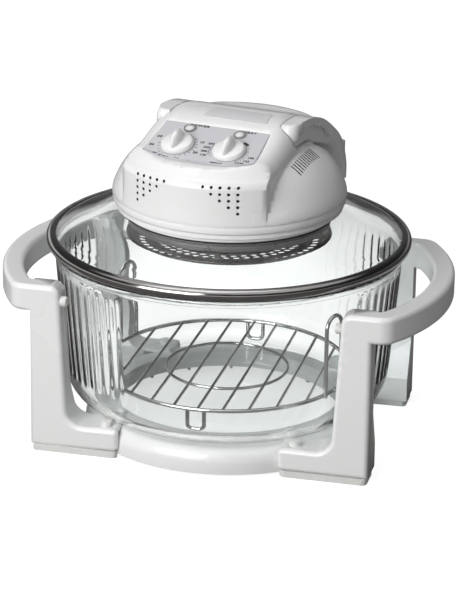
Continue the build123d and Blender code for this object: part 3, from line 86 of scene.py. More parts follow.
def soft_box(name, place, aim, width, height, power):
    """A rectangular lamp with its face turned to a point."""
    lamp = bpy.data.lights.new(name, "AREA")
    lamp.shape = "RECTANGLE"
    lamp.size = width
    lamp.size_y = height
    lamp.energy = power
    stand = show(bpy.data.objects.new(name, lamp))
    stand.location = place
    stand.rotation_mode = "QUATERNION"
    stand.rotation_quaternion = (Vector(aim) - Vector(place)).to_track_quat("-Z", "Y")


bowl_middle = (0.0, 0.0, 0.14)
soft_box("key_soft_box", (-0.75, -1.75, 1.05), bowl_middle, width=1.3, height=1.0, power=34.5)
soft_box("top_soft_box", (-0.25, 0.10, 1.8), bowl_middle, width=1.2, height=0.9, power=5.0)

camera_azimuth = math.radians(13.389)
camera_elevation = math.radians(20.106)
camera_roll = math.radians(0.859)
camera_distance = 2.62167
camera_aim = Vector((0.00172, 0.0, 0.12333))
camera_back = Vector((math.sin(camera_azimuth) * math.cos(camera_elevation),
                      -math.cos(camera_azimuth) * math.cos(camera_elevation),
                      math.sin(camera_elevation)))
camera_data = bpy.data.cameras.new("camera")
camera_data.sensor_width = 36.0
camera_data.lens = 174.83
camera_data.clip_end = 50.0
camera = show(bpy.data.objects.new("camera", camera_data))
camera.location = camera_aim + camera_back * camera_distance
camera.rotation_mode = "QUATERNION"
camera.rotation_quaternion = ((-camera_back).to_track_quat("-Z", "Y")
                              @ Quaternion((0.0, 0.0, 1.0), camera_roll))
bpy.context.scene.camera = camera

world = bpy.data.worlds.new("studio")
world.use_nodes = True
bpy.context.scene.world = world
sky = world.node_tree
sky.nodes.clear()
lit_side = (-0.70, -0.42, 0.58)
fill_stops = ((0.30, (0.30, 0.295, 0.295, 1.0)), (0.90, (0.29, 0.295, 0.30, 1.0)))
band_stops = ((0.0, 0.12), (0.10, 0.85), (0.24, 0.9), (0.31, 0.06), (0.68, 0.05), (0.80, 0.9))
sky_path = sky.nodes.new("ShaderNodeLightPath")
sky_place = sky.nodes.new("ShaderNodeTexCoord")
sky_split = sky.nodes.new("ShaderNodeSeparateXYZ")
sky_side = sky.nodes.new("ShaderNodeVectorMath")
sky_side.operation = "DOT_PRODUCT"
sky_side.inputs[1].default_value = lit_side
sky_fall = sky.nodes.new("ShaderNodeValToRGB")
for stop, (where, tint) in enumerate(fill_stops):
    sky_fall.color_ramp.elements[stop].position = where
    sky_fall.color_ramp.elements[stop].color = tint
sky_ramp = sky.nodes.new("ShaderNodeValToRGB")
for where in (0.2, 0.4, 0.6, 0.8):
    sky_ramp.color_ramp.elements.new(where)
for stop, (where, tint) in enumerate(band_stops):
    sky_ramp.color_ramp.elements[stop].position = where
    sky_ramp.color_ramp.elements[stop].color = (tint, tint, tint, 1.0)
sky_dim = sky.nodes.new("ShaderNodeMapRange")
sky_dim.inputs["From Min"].default_value = -0.75
sky_dim.inputs["From Max"].default_value = 0.25
sky_dim.inputs["To Min"].default_value = 0.12
sky_glossy = sky.nodes.new("ShaderNodeBackground")
sky_fill = sky.nodes.new("ShaderNodeBackground")
sky_white = sky.nodes.new("ShaderNodeBackground")
sky_white.inputs["Color"].default_value = (1.0, 1.0, 1.0, 1.0)
sky_seen = straight_look(sky)
sky_half = sky.nodes.new("ShaderNodeMapRange")
sky_half.inputs["From Min"].default_value = -1.0
sky_mix = sky.nodes.new("ShaderNodeMixShader")
sky_gloss_mix = sky.nodes.new("ShaderNodeMixShader")
sky_out = sky.nodes.new("ShaderNodeOutputWorld")
join(sky, (sky_place.outputs["Generated"], sky_side.inputs[0]),
     (sky_place.outputs["Generated"], sky_split.inputs[0]),
     (sky_side.outputs["Value"], sky_half.inputs["Value"]),
     (sky_half.outputs["Result"], sky_fall.inputs["Fac"]),
     (sky_fall.outputs["Color"], sky_fill.inputs["Color"]),
     (sky_split.outputs["Z"], sky_ramp.inputs["Fac"]),
     (sky_ramp.outputs["Color"], sky_glossy.inputs["Color"]),
     (sky_side.outputs["Value"], sky_dim.inputs["Value"]),
     (sky_dim.outputs["Result"], sky_glossy.inputs["Strength"]),
     (sky_path.outputs["Is Glossy Ray"], sky_gloss_mix.inputs["Fac"]),
     (sky_fill.outputs[0], sky_gloss_mix.inputs[1]),
     (sky_glossy.outputs[0], sky_gloss_mix.inputs[2]),
     (sky_seen.outputs[0], sky_mix.inputs["Fac"]),
     (sky_gloss_mix.outputs[0], sky_mix.inputs[1]),
     (sky_white.outputs[0], sky_mix.inputs[2]),
     (sky_mix.outputs[0], sky_out.inputs["Surface"]))

bench_reach = 14.0
bench_mesh = bpy.data.meshes.new("bench_top")
bench_mesh.from_pydata([(-bench_reach, -bench_reach, 0.0), (bench_reach, -bench_reach, 0.0),
                        (bench_reach, bench_reach, 0.0), (-bench_reach, bench_reach, 0.0)],
                       [], [(0, 1, 2, 3)])
bench = show(bpy.data.objects.new("bench_top", bench_mesh))
bench_white = bpy.data.materials.new("bench_white")
bench_white.use_nodes = True
tree = bench_white.node_tree
tree.nodes.clear()
bench_matt = tree.nodes.new("ShaderNodeBsdfDiffuse")
bench_matt.inputs["Color"].default_value = (0.42, 0.42, 0.42, 1.0)
bench_far = tree.nodes.new("ShaderNodeBsdfDiffuse")
bench_far.inputs["Color"].default_value = (0.20, 0.19, 0.188, 1.0)
bench_glow = tree.nodes.new("ShaderNodeEmission")
bench_glow.inputs["Color"].default_value = (0.86, 0.86, 0.86, 1.0)
bench_seen = straight_look(tree)
bench_sum = tree.nodes.new("ShaderNodeAddShader")
bench_choice = tree.nodes.new("ShaderNodeMixShader")
bench_out = tree.nodes.new("ShaderNodeOutputMaterial")
join(tree, (bench_seen.outputs[0], bench_choice.inputs["Fac"]),
     (bench_far.outputs[0], bench_choice.inputs[1]),
     (bench_sum.outputs[0], bench_choice.inputs[2]),
     (bench_matt.outputs[0], bench_sum.inputs[0]),
     (bench_glow.outputs[0], bench_sum.inputs[1]),
     (bench_choice.outputs[0], bench_out.inputs["Surface"]))
bench_mesh.materials.append(bench_white)


# ------------------------------------------------ handle frames of the stand
# Each side of the stand is one white moulding: two legs turned in to feet and a bowed grip between
# them.  The plastic is glossy, with a faint grain in the mould and edges that dull with handling.
def group_of(name, inputs, outputs):
    """An empty shader node group with named inputs (name, kind, value) and outputs (name, kind)."""
    group = bpy.data.node_groups.new(name, "ShaderNodeTree")
    for label, kind, value in inputs:
        socket = group.interface.new_socket(name=label, in_out="INPUT", socket_type=kind)
        socket.default_value = value
    for label, kind in outputs:
        group.interface.new_socket(name=label, in_out="OUTPUT", socket_type=kind)
    return group, group.nodes.new("NodeGroupInput"), group.nodes.new("NodeGroupOutput")


NUMBER = "NodeSocketFloat"
COLOUR = "NodeSocketColor"

mottle_group, mottle_in, mottle_out = group_of(
    "surface_mottle",
    [("Colour", COLOUR, (1.0, 1.0, 1.0, 1.0)), ("Depth", NUMBER, 0.05), ("Size", NUMBER, 20.0),
     ("Roughness", NUMBER, 0.3), ("Spread", NUMBER, 0.1), ("Grain Size", NUMBER, 900.0)],
    [("Colour", COLOUR), ("Roughness", NUMBER), ("Grain", NUMBER)])


def noise_in(tree, source, size_socket, detail):
    """Noise over a place, with its size taken from a socket."""
    noise = tree.nodes.new("ShaderNodeTexNoise")
    noise.inputs["Detail"].default_value = detail
    join(tree, (source, noise.inputs["Vector"]), (size_socket, noise.inputs["Scale"]))
    return noise.outputs["Fac"]


def sum_of(tree, operation, first, second):
    """A Math node on two sockets or numbers."""
    node = tree.nodes.new("ShaderNodeMath")
    node.operation = operation
    for socket, value in zip(node.inputs, (first, second)):
        if isinstance(value, (int, float)):
            socket.default_value = value
        else:
            tree.links.new(value, socket)
    return node.outputs[0]


mottle_place = mottle_group.nodes.new("ShaderNodeTexCoord").outputs["Object"]
broad = noise_in(mottle_group, mottle_place, mottle_in.outputs["Size"], 4.0)
fine = noise_in(mottle_group, mottle_place, mottle_in.outputs["Grain Size"], 2.0)
off_middle = sum_of(mottle_group, "SUBTRACT", broad, 0.5)
swing = sum_of(mottle_group, "MULTIPLY", off_middle, mottle_in.outputs["Depth"])
shade = mottle_group.nodes.new("ShaderNodeHueSaturation")
join(mottle_group, (mottle_in.outputs["Colour"], shade.inputs["Color"]),
     (sum_of(mottle_group, "ADD", 1.0, swing), shade.inputs["Value"]),
     (shade.outputs["Color"], mottle_out.inputs["Colour"]),
     (sum_of(mottle_group, "ADD", mottle_in.outputs["Roughness"],
             sum_of(mottle_group, "MULTIPLY", off_middle, mottle_in.outputs["Spread"])),
      mottle_out.inputs["Roughness"]),
     (fine, mottle_out.inputs["Grain"]))

# Convex edges found by pointiness take a second colour: a darker one stands for wear, a lighter one
# is a painted edge highlight.
edge_group, edge_in, edge_out = group_of(
    "edge_wear_and_glint",
    [("Colour", COLOUR, (1.0, 1.0, 1.0, 1.0)), ("Wear And Glint Colour", COLOUR, (0.8, 0.8, 0.8, 1.0)),
     ("Amount", NUMBER, 0.5)],
    [("Colour", COLOUR), ("Mask", NUMBER)])
edge_bend = edge_group.nodes.new("ShaderNodeNewGeometry").outputs["Pointiness"]
edge_ramp = edge_group.nodes.new("ShaderNodeMapRange")
edge_ramp.inputs["From Min"].default_value = 0.52
edge_ramp.inputs["From Max"].default_value = 0.60
edge_size = edge_group.nodes.new("ShaderNodeValue")
edge_size.outputs[0].default_value = 160.0
edge_break = noise_in(edge_group, edge_group.nodes.new("ShaderNodeTexCoord").outputs["Object"],
                      edge_size.outputs[0], 3.0)
edge_patch = sum_of(edge_group, "MULTIPLY", edge_ramp.outputs["Result"], edge_break)
edge_mask = sum_of(edge_group, "MULTIPLY", edge_patch, edge_in.outputs["Amount"])
edge_mix = edge_group.nodes.new("ShaderNodeMix")
edge_mix.data_type = "RGBA"
join(edge_group, (edge_bend, edge_ramp.inputs["Value"]), (edge_mask, edge_mix.inputs["Factor"]),
     (edge_in.outputs["Colour"], edge_mix.inputs["A"]),
     (edge_in.outputs["Wear And Glint Colour"], edge_mix.inputs["B"]),
     (edge_mix.outputs["Result"], edge_out.inputs["Colour"]), (edge_mask, edge_out.inputs["Mask"]))


wear_and_glint_amount, worn_dullness = 0.35, 0.86
grain_relief = 0.0004


def finish_of(name, colour, rough, depth, size, spread, grain, bump, wear_and_glint=None, metallic=0.0,
              **plain):
    """A solid finish: mottled colour and roughness, a fine grain in relief, and edges darkened as
    wear where the edge colour is darker and lit as a painted edge highlight where it is lighter.
    """
    material = bpy.data.materials.new(name)
    material.use_nodes = True
    tree = material.node_tree
    shader = tree.nodes["Principled BSDF"]
    shader.inputs["Metallic"].default_value = metallic
    for label, value in plain.items():
        shader.inputs[label.replace("_", " ")].default_value = value
    mottle = tree.nodes.new("ShaderNodeGroup")
    mottle.node_tree = mottle_group
    mottle.inputs["Colour"].default_value = (*colour, 1.0)
    mottle.inputs["Depth"].default_value = depth
    mottle.inputs["Size"].default_value = size
    mottle.inputs["Roughness"].default_value = rough
    mottle.inputs["Spread"].default_value = spread
    mottle.inputs["Grain Size"].default_value = grain
    edge = tree.nodes.new("ShaderNodeGroup")
    edge.node_tree = edge_group
    edge.inputs["Wear And Glint Colour"].default_value = (*(wear_and_glint or [c * worn_dullness for c in colour]), 1.0)
    edge.inputs["Amount"].default_value = wear_and_glint_amount
    relief = tree.nodes.new("ShaderNodeBump")
    relief.inputs["Strength"].default_value = bump
    relief.inputs["Distance"].default_value = grain_relief
    join(tree, (mottle.outputs["Colour"], edge.inputs["Colour"]),
         (edge.outputs["Colour"], shader.inputs["Base Color"]),
         (mottle.outputs["Roughness"], shader.inputs["Roughness"]),
         (mottle.outputs["Grain"], relief.inputs["Height"]),
         (relief.outputs["Normal"], shader.inputs["Normal"]))
    return material


def paint(node, material):
    """Give a CAD node's own material slots a finish."""
    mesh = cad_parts[node].data
    mesh.materials.clear()
    mesh.materials.append(material)


weld_reach = 0.000004


def mesh_of(draft):
    """The plain mesh of an object as it looks with its modifiers or letters."""
    seen = draft.evaluated_get(bpy.context.evaluated_depsgraph_get())
    return bpy.data.meshes.new_from_object(seen)


def smoothed(node, body, material, sharp=32.0):
    """A merged copy of a CAD node with smooth curved faces and crisp edges, standing in for it."""
    work = bmesh.new()
    work.from_mesh(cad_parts[node].data)
    bmesh.ops.remove_doubles(work, verts=work.verts, dist=weld_reach)
    mesh = bpy.data.meshes.new(node + "_finish")
    work.to_mesh(mesh)
    work.free()
    mesh.materials.clear()
    mesh.materials.append(material)
    for polygon in mesh.polygons:
        polygon.material_index = 0
        polygon.use_smooth = True
    mesh.set_sharp_from_angle(angle=math.radians(sharp))
    draft = show(bpy.data.objects.new(node + "_draft", mesh))
    weighted = draft.modifiers.new("flat faces keep their normals", "WEIGHTED_NORMAL")
    weighted.keep_sharp = True
    piece = show(bpy.data.objects.new(node + "_finish", mesh_of(draft)))
    bpy.data.objects.remove(draft)
    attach(piece, body)
    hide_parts(node)
    return piece


white_plastic = finish_of("white_plastic", (0.86, 0.86, 0.855), 0.26, depth=0.035, size=14.0,
                          spread=0.10, grain=1400.0, bump=0.03, wear_and_glint=(0.74, 0.74, 0.72),
                          Coat_Weight=0.25, Coat_Roughness=0.12)
for side in ("left", "right"):
    smoothed(side + "_handle_frame", "stand", white_plastic)


# ------------------------------------------------ base ring
# A plain white ring joins the four feet under the bowl and stiffens the stand.  It is moulded in
# the same plastic, ribbed below, and held to the feet by one screw at each corner.
smoothed("base_ring", "stand", white_plastic)


# ------------------------------------------------ soles, posts and bumpers
# Soft pads close the open undersides of the feet, four short posts carry the bowl, and four rounded
# bumpers behind the legs keep the glass from touching the frames.
sole_rubber = finish_of("sole_rubber", (0.78, 0.78, 0.76), 0.55, depth=0.10, size=60.0, spread=0.2,
                        grain=1800.0, bump=0.12, Subsurface_Weight=0.08, Subsurface_Scale=0.002)
for node in ("foot_pads", "bowl_posts", "bowl_bumpers"):
    smoothed(node, "stand", sole_rubber)
# painted highlight: the screws' lighter edge colour stands for light caught on their edges
screw_steel = finish_of("screw_steel", (0.62, 0.62, 0.63), 0.28, depth=0.16, size=300.0,
                        spread=0.25, grain=2600.0, bump=0.10, wear_and_glint=(0.82, 0.82, 0.82), metallic=1.0)
smoothed("frame_screws", "stand", screw_steel)


# ------------------------------------------------ glass bowl
# A pressed glass bowl with a flat floor, a wide corner and a beaded rim.  The outside of its wall
# is fluted in two groups, one at each side, and left clear at the front and the back.
drift_depth, drift_size, wave_relief = 0.02, 18.0, 0.0006
seam_reach = 0.0000005


def glass_of(name, colour, rough, waviness, wave_size, ior):
    """Clear glass: faint tint that drifts, nearly smooth, with the shallow waves of pressing."""
    material = bpy.data.materials.new(name)
    material.use_nodes = True
    tree = material.node_tree
    shader = tree.nodes["Principled BSDF"]
    shader.inputs["Transmission Weight"].default_value = 1.0
    shader.inputs["IOR"].default_value = ior
    mottle = tree.nodes.new("ShaderNodeGroup")
    mottle.node_tree = mottle_group
    mottle.inputs["Colour"].default_value = (*colour, 1.0)
    mottle.inputs["Depth"].default_value = drift_depth
    mottle.inputs["Size"].default_value = drift_size
    mottle.inputs["Roughness"].default_value = rough
    mottle.inputs["Spread"].default_value = rough
    mottle.inputs["Grain Size"].default_value = wave_size
    relief = tree.nodes.new("ShaderNodeBump")
    relief.inputs["Strength"].default_value = waviness
    relief.inputs["Distance"].default_value = wave_relief
    path = tree.nodes.new("ShaderNodeLightPath")
    clear = tree.nodes.new("ShaderNodeBsdfTransparent")
    clear.inputs["Color"].default_value = (0.93, 0.95, 0.95, 1.0)
    mix = tree.nodes.new("ShaderNodeMixShader")
    join(tree, (mottle.outputs["Colour"], shader.inputs["Base Color"]),
         (mottle.outputs["Roughness"], shader.inputs["Roughness"]),
         (mottle.outputs["Grain"], relief.inputs["Height"]),
         (relief.outputs["Normal"], shader.inputs["Normal"]),
         (path.outputs["Is Shadow Ray"], mix.inputs["Fac"]),
         (shader.outputs[0], mix.inputs[1]), (clear.outputs[0], mix.inputs[2]),
         (mix.outputs[0], tree.nodes["Material Output"].inputs["Surface"]))
    return material


def piece_of(name, points, faces, material, body, sharp=None):
    """A plain mesh piece in metres, welded shut, facing outwards and riding on its body."""
    work = bmesh.new()
    corners = [work.verts.new(point) for point in points]
    for face in faces:
        work.faces.new([corners[i] for i in face])
    bmesh.ops.remove_doubles(work, verts=work.verts, dist=seam_reach)
    bmesh.ops.recalc_face_normals(work, faces=work.faces)
    mesh = bpy.data.meshes.new(name)
    work.to_mesh(mesh)
    work.free()
    for polygon in mesh.polygons:
        polygon.use_smooth = True
    if sharp:
        mesh.set_sharp_from_angle(angle=math.radians(sharp))
    mesh.materials.append(material)
    piece = show(bpy.data.objects.new(name, mesh))
    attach(piece, body)
    return piece


bowl_low, bowl_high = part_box("glass_bowl")
bowl_bottom = bowl_low.z
bowl_top = bowl_high.z
bead_radius = bowl_high.x
flat_radius = 0.116
corner_radius = 0.032
wall = 0.0046
floor_sheet = 0.006
wall_top_radius = 0.1573
wall_top = bowl_top - 0.007
floor_rings = (0.03, 0.07, 0.1)
corner_rows, wall_rows, inner_corner_rows, inner_wall_rows = 10, 44, 8, 12
corner_centre_z = bowl_bottom + corner_radius
flute_low, flute_high = 0.064, 0.164
flute_depth = 0.0008
flute_steps = 12
flutes_each_side = 22
flute_pitch = math.radians(4.5)
flute_fade = 0.006
flute_middles = (math.radians(17.0), math.radians(197.0))


def wall_run(inset, corner, corner_steps, wall_steps):
    """(radius, height) points from the floor's edge up the corner and the wall."""
    rim_radius = wall_top_radius - inset
    dx, dz = rim_radius - flat_radius, wall_top - corner_centre_z
    reach = math.hypot(dx, dz)
    lean = math.acos(dx / reach) - math.acos(corner / reach)
    points = []
    for i in range(corner_steps + 1):
        turn = -math.pi / 2 + (lean + math.pi / 2) * i / corner_steps
        points.append((flat_radius + corner * math.cos(turn),
                       corner_centre_z + corner * math.sin(turn)))
    foot_radius, foot_z = points[-1]
    for i in range(1, wall_steps + 1):
        share = i / wall_steps
        points.append((foot_radius + (rim_radius - foot_radius) * share,
                       foot_z + (wall_top - foot_z) * share))
    return points


bowl_outline = [(r, bowl_bottom) for r in floor_rings]
bowl_outline += wall_run(0.0, corner_radius, corner_rows, wall_rows)
bowl_outline += [(bead_radius - 0.0006, wall_top + 0.0009), (bead_radius, wall_top + 0.0022),
                 (bead_radius, bowl_top - 0.0022), (bead_radius - 0.0006, bowl_top - 0.0008),
                 (bead_radius - 0.002, bowl_top), (wall_top_radius - wall + 0.0012, bowl_top),
                 (wall_top_radius - wall + 0.0002, bowl_top - 0.0008)]
bowl_outline += reversed(wall_run(wall, corner_radius - floor_sheet, inner_corner_rows,
                                  inner_wall_rows))
bowl_outline += [(r, bowl_bottom + floor_sheet) for r in floor_rings[::-1]]
first_wall_row = len(floor_rings) + corner_rows
last_wall_row = first_wall_row + wall_rows
turn_steps = round(2 * math.pi / flute_pitch) * flute_steps


def flute_sink(turn, height):
    """How far the outside of the wall lies in from the plain wall at this place."""
    if not flute_low < height < flute_high:
        return 0.0
    up = min(1.0, (height - flute_low) / flute_fade, (flute_high - height) / flute_fade)
    for middle in flute_middles:
        off = (turn - middle + math.pi) % (2 * math.pi) - math.pi
        if abs(off) <= flutes_each_side / 2 * flute_pitch:
            wave = math.sin(math.pi * (off / flute_pitch + flutes_each_side / 2))
            return flute_depth * up * wave ** 2
    return 0.0


bowl_points = []
bowl_faces = []
rows = len(bowl_outline)
for step in range(turn_steps):
    turn = 2 * math.pi * step / turn_steps
    for row, (radius, height) in enumerate(bowl_outline):
        if first_wall_row <= row <= last_wall_row:
            radius = radius - flute_sink(turn, height)
        bowl_points.append((radius * math.cos(turn), radius * math.sin(turn), height))
for step in range(turn_steps):
    here, there = step * rows, (step + 1) % turn_steps * rows
    for row in range(rows - 1):
        bowl_faces.append((here + row, there + row, there + row + 1, here + row + 1))
pole_low, pole_high = len(bowl_points), len(bowl_points) + 1
bowl_points += [(0.0, 0.0, bowl_bottom), (0.0, 0.0, bowl_bottom + floor_sheet)]
for step in range(turn_steps):
    here, there = step * rows, (step + 1) % turn_steps * rows
    bowl_faces.append((pole_low, there, here))
    bowl_faces.append((pole_high, here + rows - 1, there + rows - 1))
bowl_glass = glass_of("bowl_glass", (0.975, 0.99, 0.985), rough=0.004, waviness=0.05,
                      wave_size=30.0, ior=1.49)
bowl_piece = piece_of("glass_bowl_finish", bowl_points, bowl_faces, bowl_glass, "bowl")
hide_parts("glass_bowl")


# ------------------------------------------------ wire rack
# A low rack of plated wire stands on the floor of the bowl: a round rim with bars and an inner ring
# welded to it, four folded feet and two upright loops to lift it out by.
# painted highlight: the wire's lighter edge colour stands for light caught on its edges
rack_wire = finish_of("rack_wire", (0.74, 0.74, 0.74), 0.12, depth=0.12, size=180.0, spread=0.10,
                      grain=1500.0, bump=0.03, wear_and_glint=(0.9, 0.9, 0.9), metallic=1.0)
for node in ("rack_grid", "rack_feet", "rack_loops"):
    smoothed(node, "rack", rack_wire)


# ------------------------------------------------ lid glass and its rim
# The lid is a shallow dome of tempered glass, flat where the head is clamped to it.  A rolled band
# of polished steel grips its edge and rests on the bowl.
lid_clear = glass_of("lid_glass", (0.97, 0.985, 0.985), rough=0.003, waviness=0.02,
                     wave_size=20.0, ior=1.49)
smoothed("lid_glass", "lid", lid_clear, sharp=40.0)
# painted highlight: the rim's lighter edge colour stands for light caught on its rolled edges
rim_steel = finish_of("rim_steel", (0.36, 0.35, 0.345), 0.13, depth=0.10, size=70.0, spread=0.08,
                      grain=900.0, bump=0.02, wear_and_glint=(0.62, 0.61, 0.60), metallic=1.0)
smoothed("lid_rim", "lid", rim_steel, sharp=45.0)


# ------------------------------------------------ head clamp and seals
# The head is clamped through the hole of the glass between two rubber rings, with a white collar
# above and a steel plate below.  The skirt of the collar under the glass and the plate are coloured
# dark as painted shade under the head.
seal_rubber = finish_of("seal_rubber", (0.05, 0.05, 0.05), 0.6, depth=0.3, size=120.0, spread=0.2,
                        grain=1600.0, bump=0.15)
for node in ("upper_gasket", "lower_gasket"):
    smoothed(node, "lid", seal_rubber)
collar = smoothed("head_collar", "lid", white_plastic, sharp=20.0)
# painted shade: the collar's skirt below the upper gasket is coloured dark brown for the shade that
# falls under the head
collar_painted_shade = finish_of("collar_painted_shade", (0.10, 0.085, 0.07), 0.6, depth=0.4, size=40.0,
                           spread=0.2, grain=900.0, bump=0.08)
collar.data.materials.append(collar_painted_shade)
# the faces below the upper gasket take the painted shade
gasket_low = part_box("upper_gasket")[0].z
for polygon in collar.data.polygons:
    if polygon.center.z < gasket_low:
        polygon.material_index = 1
# painted shade: this steel is coloured dark for the shade under the head; the guard pillars, lamp
# clips, motor shaft and motor bracket share it
plate_steel = finish_of("plate_steel", (0.30, 0.285, 0.27), 0.3, depth=0.2, size=60.0, spread=0.2,
                        grain=1200.0, bump=0.05, metallic=1.0)
for node in ("clamp_plate", "guard_pillars", "lamp_clips"):
    smoothed(node, "lid", plate_steel)
smoothed("motor_shaft", "fan", plate_steel)
for node in ("clamp_screws", "guard_screws", "housing_screws"):
    smoothed(node, "lid", screw_steel)
mineral_board = finish_of("mineral_board", (0.34, 0.28, 0.20), 0.9, depth=0.3, size=90.0,
                          spread=0.1, grain=1400.0, bump=0.4)
paint("insulation_board", mineral_board)


# ------------------------------------------------ halogen lamp
# A ring of clear quartz tube with a wound tungsten filament inside heats the oven.  Its two ends
# sit in ceramic caps, and steel clips hold it under the clamp plate.
quartz = glass_of("quartz", (0.95, 0.95, 0.93), rough=0.01, waviness=0.05, wave_size=60.0,
                  ior=1.46)
smoothed("halogen_lamp", "lid", quartz)
tungsten = finish_of("tungsten", (0.30, 0.29, 0.28), 0.35, depth=0.3, size=400.0, spread=0.2,
                     grain=3000.0, bump=0.1, metallic=1.0)
lamp_radius, lamp_height, coil_radius, coil_wire = 0.057, 0.190, 0.0011, 0.0002
coil_turns, coil_steps, wire_sides = 200, 10, 4
coil_start, coil_sweep = math.radians(107.0), math.radians(326.0)
coil_points, coil_faces = [], []
coil_count = coil_turns * coil_steps
for step in range(coil_count + 1):
    along = coil_start + coil_sweep * step / coil_count
    wind = 2 * math.pi * step / coil_steps
    for side in range(wire_sides):
        round_wire = 2 * math.pi * side / wire_sides
        swing_out = coil_radius + coil_wire * math.cos(round_wire)
        reach = lamp_radius + swing_out * math.cos(wind)
        drift = along + coil_wire * math.sin(round_wire) / lamp_radius
        coil_points.append((reach * math.cos(drift), reach * math.sin(drift),
                            lamp_height + swing_out * math.sin(wind)))
for step in range(coil_count):
    for side in range(wire_sides):
        here, there = step * wire_sides, (step + 1) * wire_sides
        after = (side + 1) % wire_sides
        coil_faces.append((here + side, here + after, there + after, there + side))
coil_faces.append(tuple(range(wire_sides))[::-1])
coil_faces.append(tuple(coil_count * wire_sides + side for side in range(wire_sides)))
piece_of("lamp_filament", coil_points, coil_faces, tungsten, "lid")
ceramic = finish_of("ceramic", (0.80, 0.77, 0.70), 0.5, depth=0.15, size=120.0, spread=0.2,
                    grain=1500.0, bump=0.12)
smoothed("lamp_caps", "lid", ceramic)


# ------------------------------------------------ heater guard
# A shallow dish of sheet steel, coloured dark brown as painted shade under the head, hangs under
# the lamp and the fan.  It is punched with rings of round holes and rolled over at its rim.
# painted shade: the dish is coloured dark brown for the shade under the head; its lighter edge
# colour is a painted edge highlight
guard_steel = finish_of("guard_steel", (0.12, 0.10, 0.085), 0.16, depth=0.5, size=38.0, spread=0.2,
                        grain=1300.0, bump=0.04, wear_and_glint=(0.34, 0.31, 0.28), metallic=1.0)
guard_rows = ((0.0345, 23), (0.043, 29), (0.0514, 35), (0.060, 41), (0.0768, 51))
guard_foot, guard_floor_radius, guard_lip_radius, guard_radius = 0.0835, 0.085, 0.0885, 0.0915
guard_low, guard_top, guard_sheet, guard_roll = 0.1815, 0.187, 0.0005, 0.0008
guard_steps = 160


def lathe_mesh(name, outline, steps):
    """A closed outline of (radius, height) points turned about Z, with poles on the axis."""
    work = bmesh.new()
    rings = []
    for radius, height in outline:
        if radius == 0.0:
            rings.append([work.verts.new((0.0, 0.0, height))] * steps)
            continue
        turns = [2 * math.pi * i / steps for i in range(steps)]
        rings.append([work.verts.new((radius * math.cos(t), radius * math.sin(t), height))
                      for t in turns])
    for low, high in zip(rings, rings[1:] + rings[:1]):
        for i in range(steps):
            corners = []
            for vert in (low[i], low[(i + 1) % steps], high[(i + 1) % steps], high[i]):
                if vert not in corners:
                    corners.append(vert)
            if len(corners) > 2:
                work.faces.new(corners)
    bmesh.ops.recalc_face_normals(work, faces=work.faces)
    mesh = bpy.data.meshes.new(name)
    work.to_mesh(mesh)
    work.free()
    return mesh


roll_turns = [math.radians(-100 + 28 * i) for i in range(11)]
guard_outline = [(0.0, guard_low), (guard_foot, guard_low),
                 (guard_floor_radius, guard_low + 0.0009),
                 (guard_lip_radius, guard_top - 2 * guard_roll)]
guard_outline += [(guard_radius - guard_roll + guard_roll * math.cos(turn),
                   guard_top - guard_roll + guard_roll * math.sin(turn)) for turn in roll_turns]
guard_outline += [(guard_lip_radius - 0.001, guard_top - guard_roll / 2),
                  (guard_floor_radius - 0.001, guard_low + 0.002),
                  (guard_foot - 0.0004, guard_low + guard_sheet), (0.0, guard_low + guard_sheet)]
guard_draft = show(bpy.data.objects.new("guard_draft",
                                        lathe_mesh("guard_draft", guard_outline, guard_steps)))

punch = bpy.data.node_groups.new("punched_holes", "GeometryNodeTree")
for label, kind in (("Sheet", "NodeSocketGeometry"), ("Hole Radius", NUMBER),
                    ("Floor Height", NUMBER), ("Hole Sides", "NodeSocketInt"),
                    ("Finish", "NodeSocketMaterial")):
    punch.interface.new_socket(name=label, in_out="INPUT", socket_type=kind)
punch.interface.new_socket(name="Sheet", in_out="OUTPUT", socket_type="NodeSocketGeometry")
punch_in = punch.nodes.new("NodeGroupInput")
punch_out = punch.nodes.new("NodeGroupOutput")
punch_tool = punch.nodes.new("GeometryNodeMeshCylinder")
punch_tool.inputs["Depth"].default_value = 12 * guard_sheet
punch_join = punch.nodes.new("GeometryNodeJoinGeometry")
for row_radius, holes in guard_rows:
    row = punch.nodes.new("GeometryNodeMeshCircle")
    row.inputs["Vertices"].default_value = holes
    row.inputs["Radius"].default_value = row_radius
    join(punch, (row.outputs["Mesh"], punch_join.inputs["Geometry"]))
punch_lift = punch.nodes.new("ShaderNodeCombineXYZ")
punch_move = punch.nodes.new("GeometryNodeTransform")
punch_place = punch.nodes.new("GeometryNodeInstanceOnPoints")
punch_real = punch.nodes.new("GeometryNodeRealizeInstances")
punch_cut = punch.nodes.new("GeometryNodeMeshBoolean")
punch_cut.operation = "DIFFERENCE"
punch_cut.solver = "EXACT"
punch_all = punch.nodes.new("GeometryNodeRealizeInstances")
punch_paint = punch.nodes.new("GeometryNodeSetMaterial")
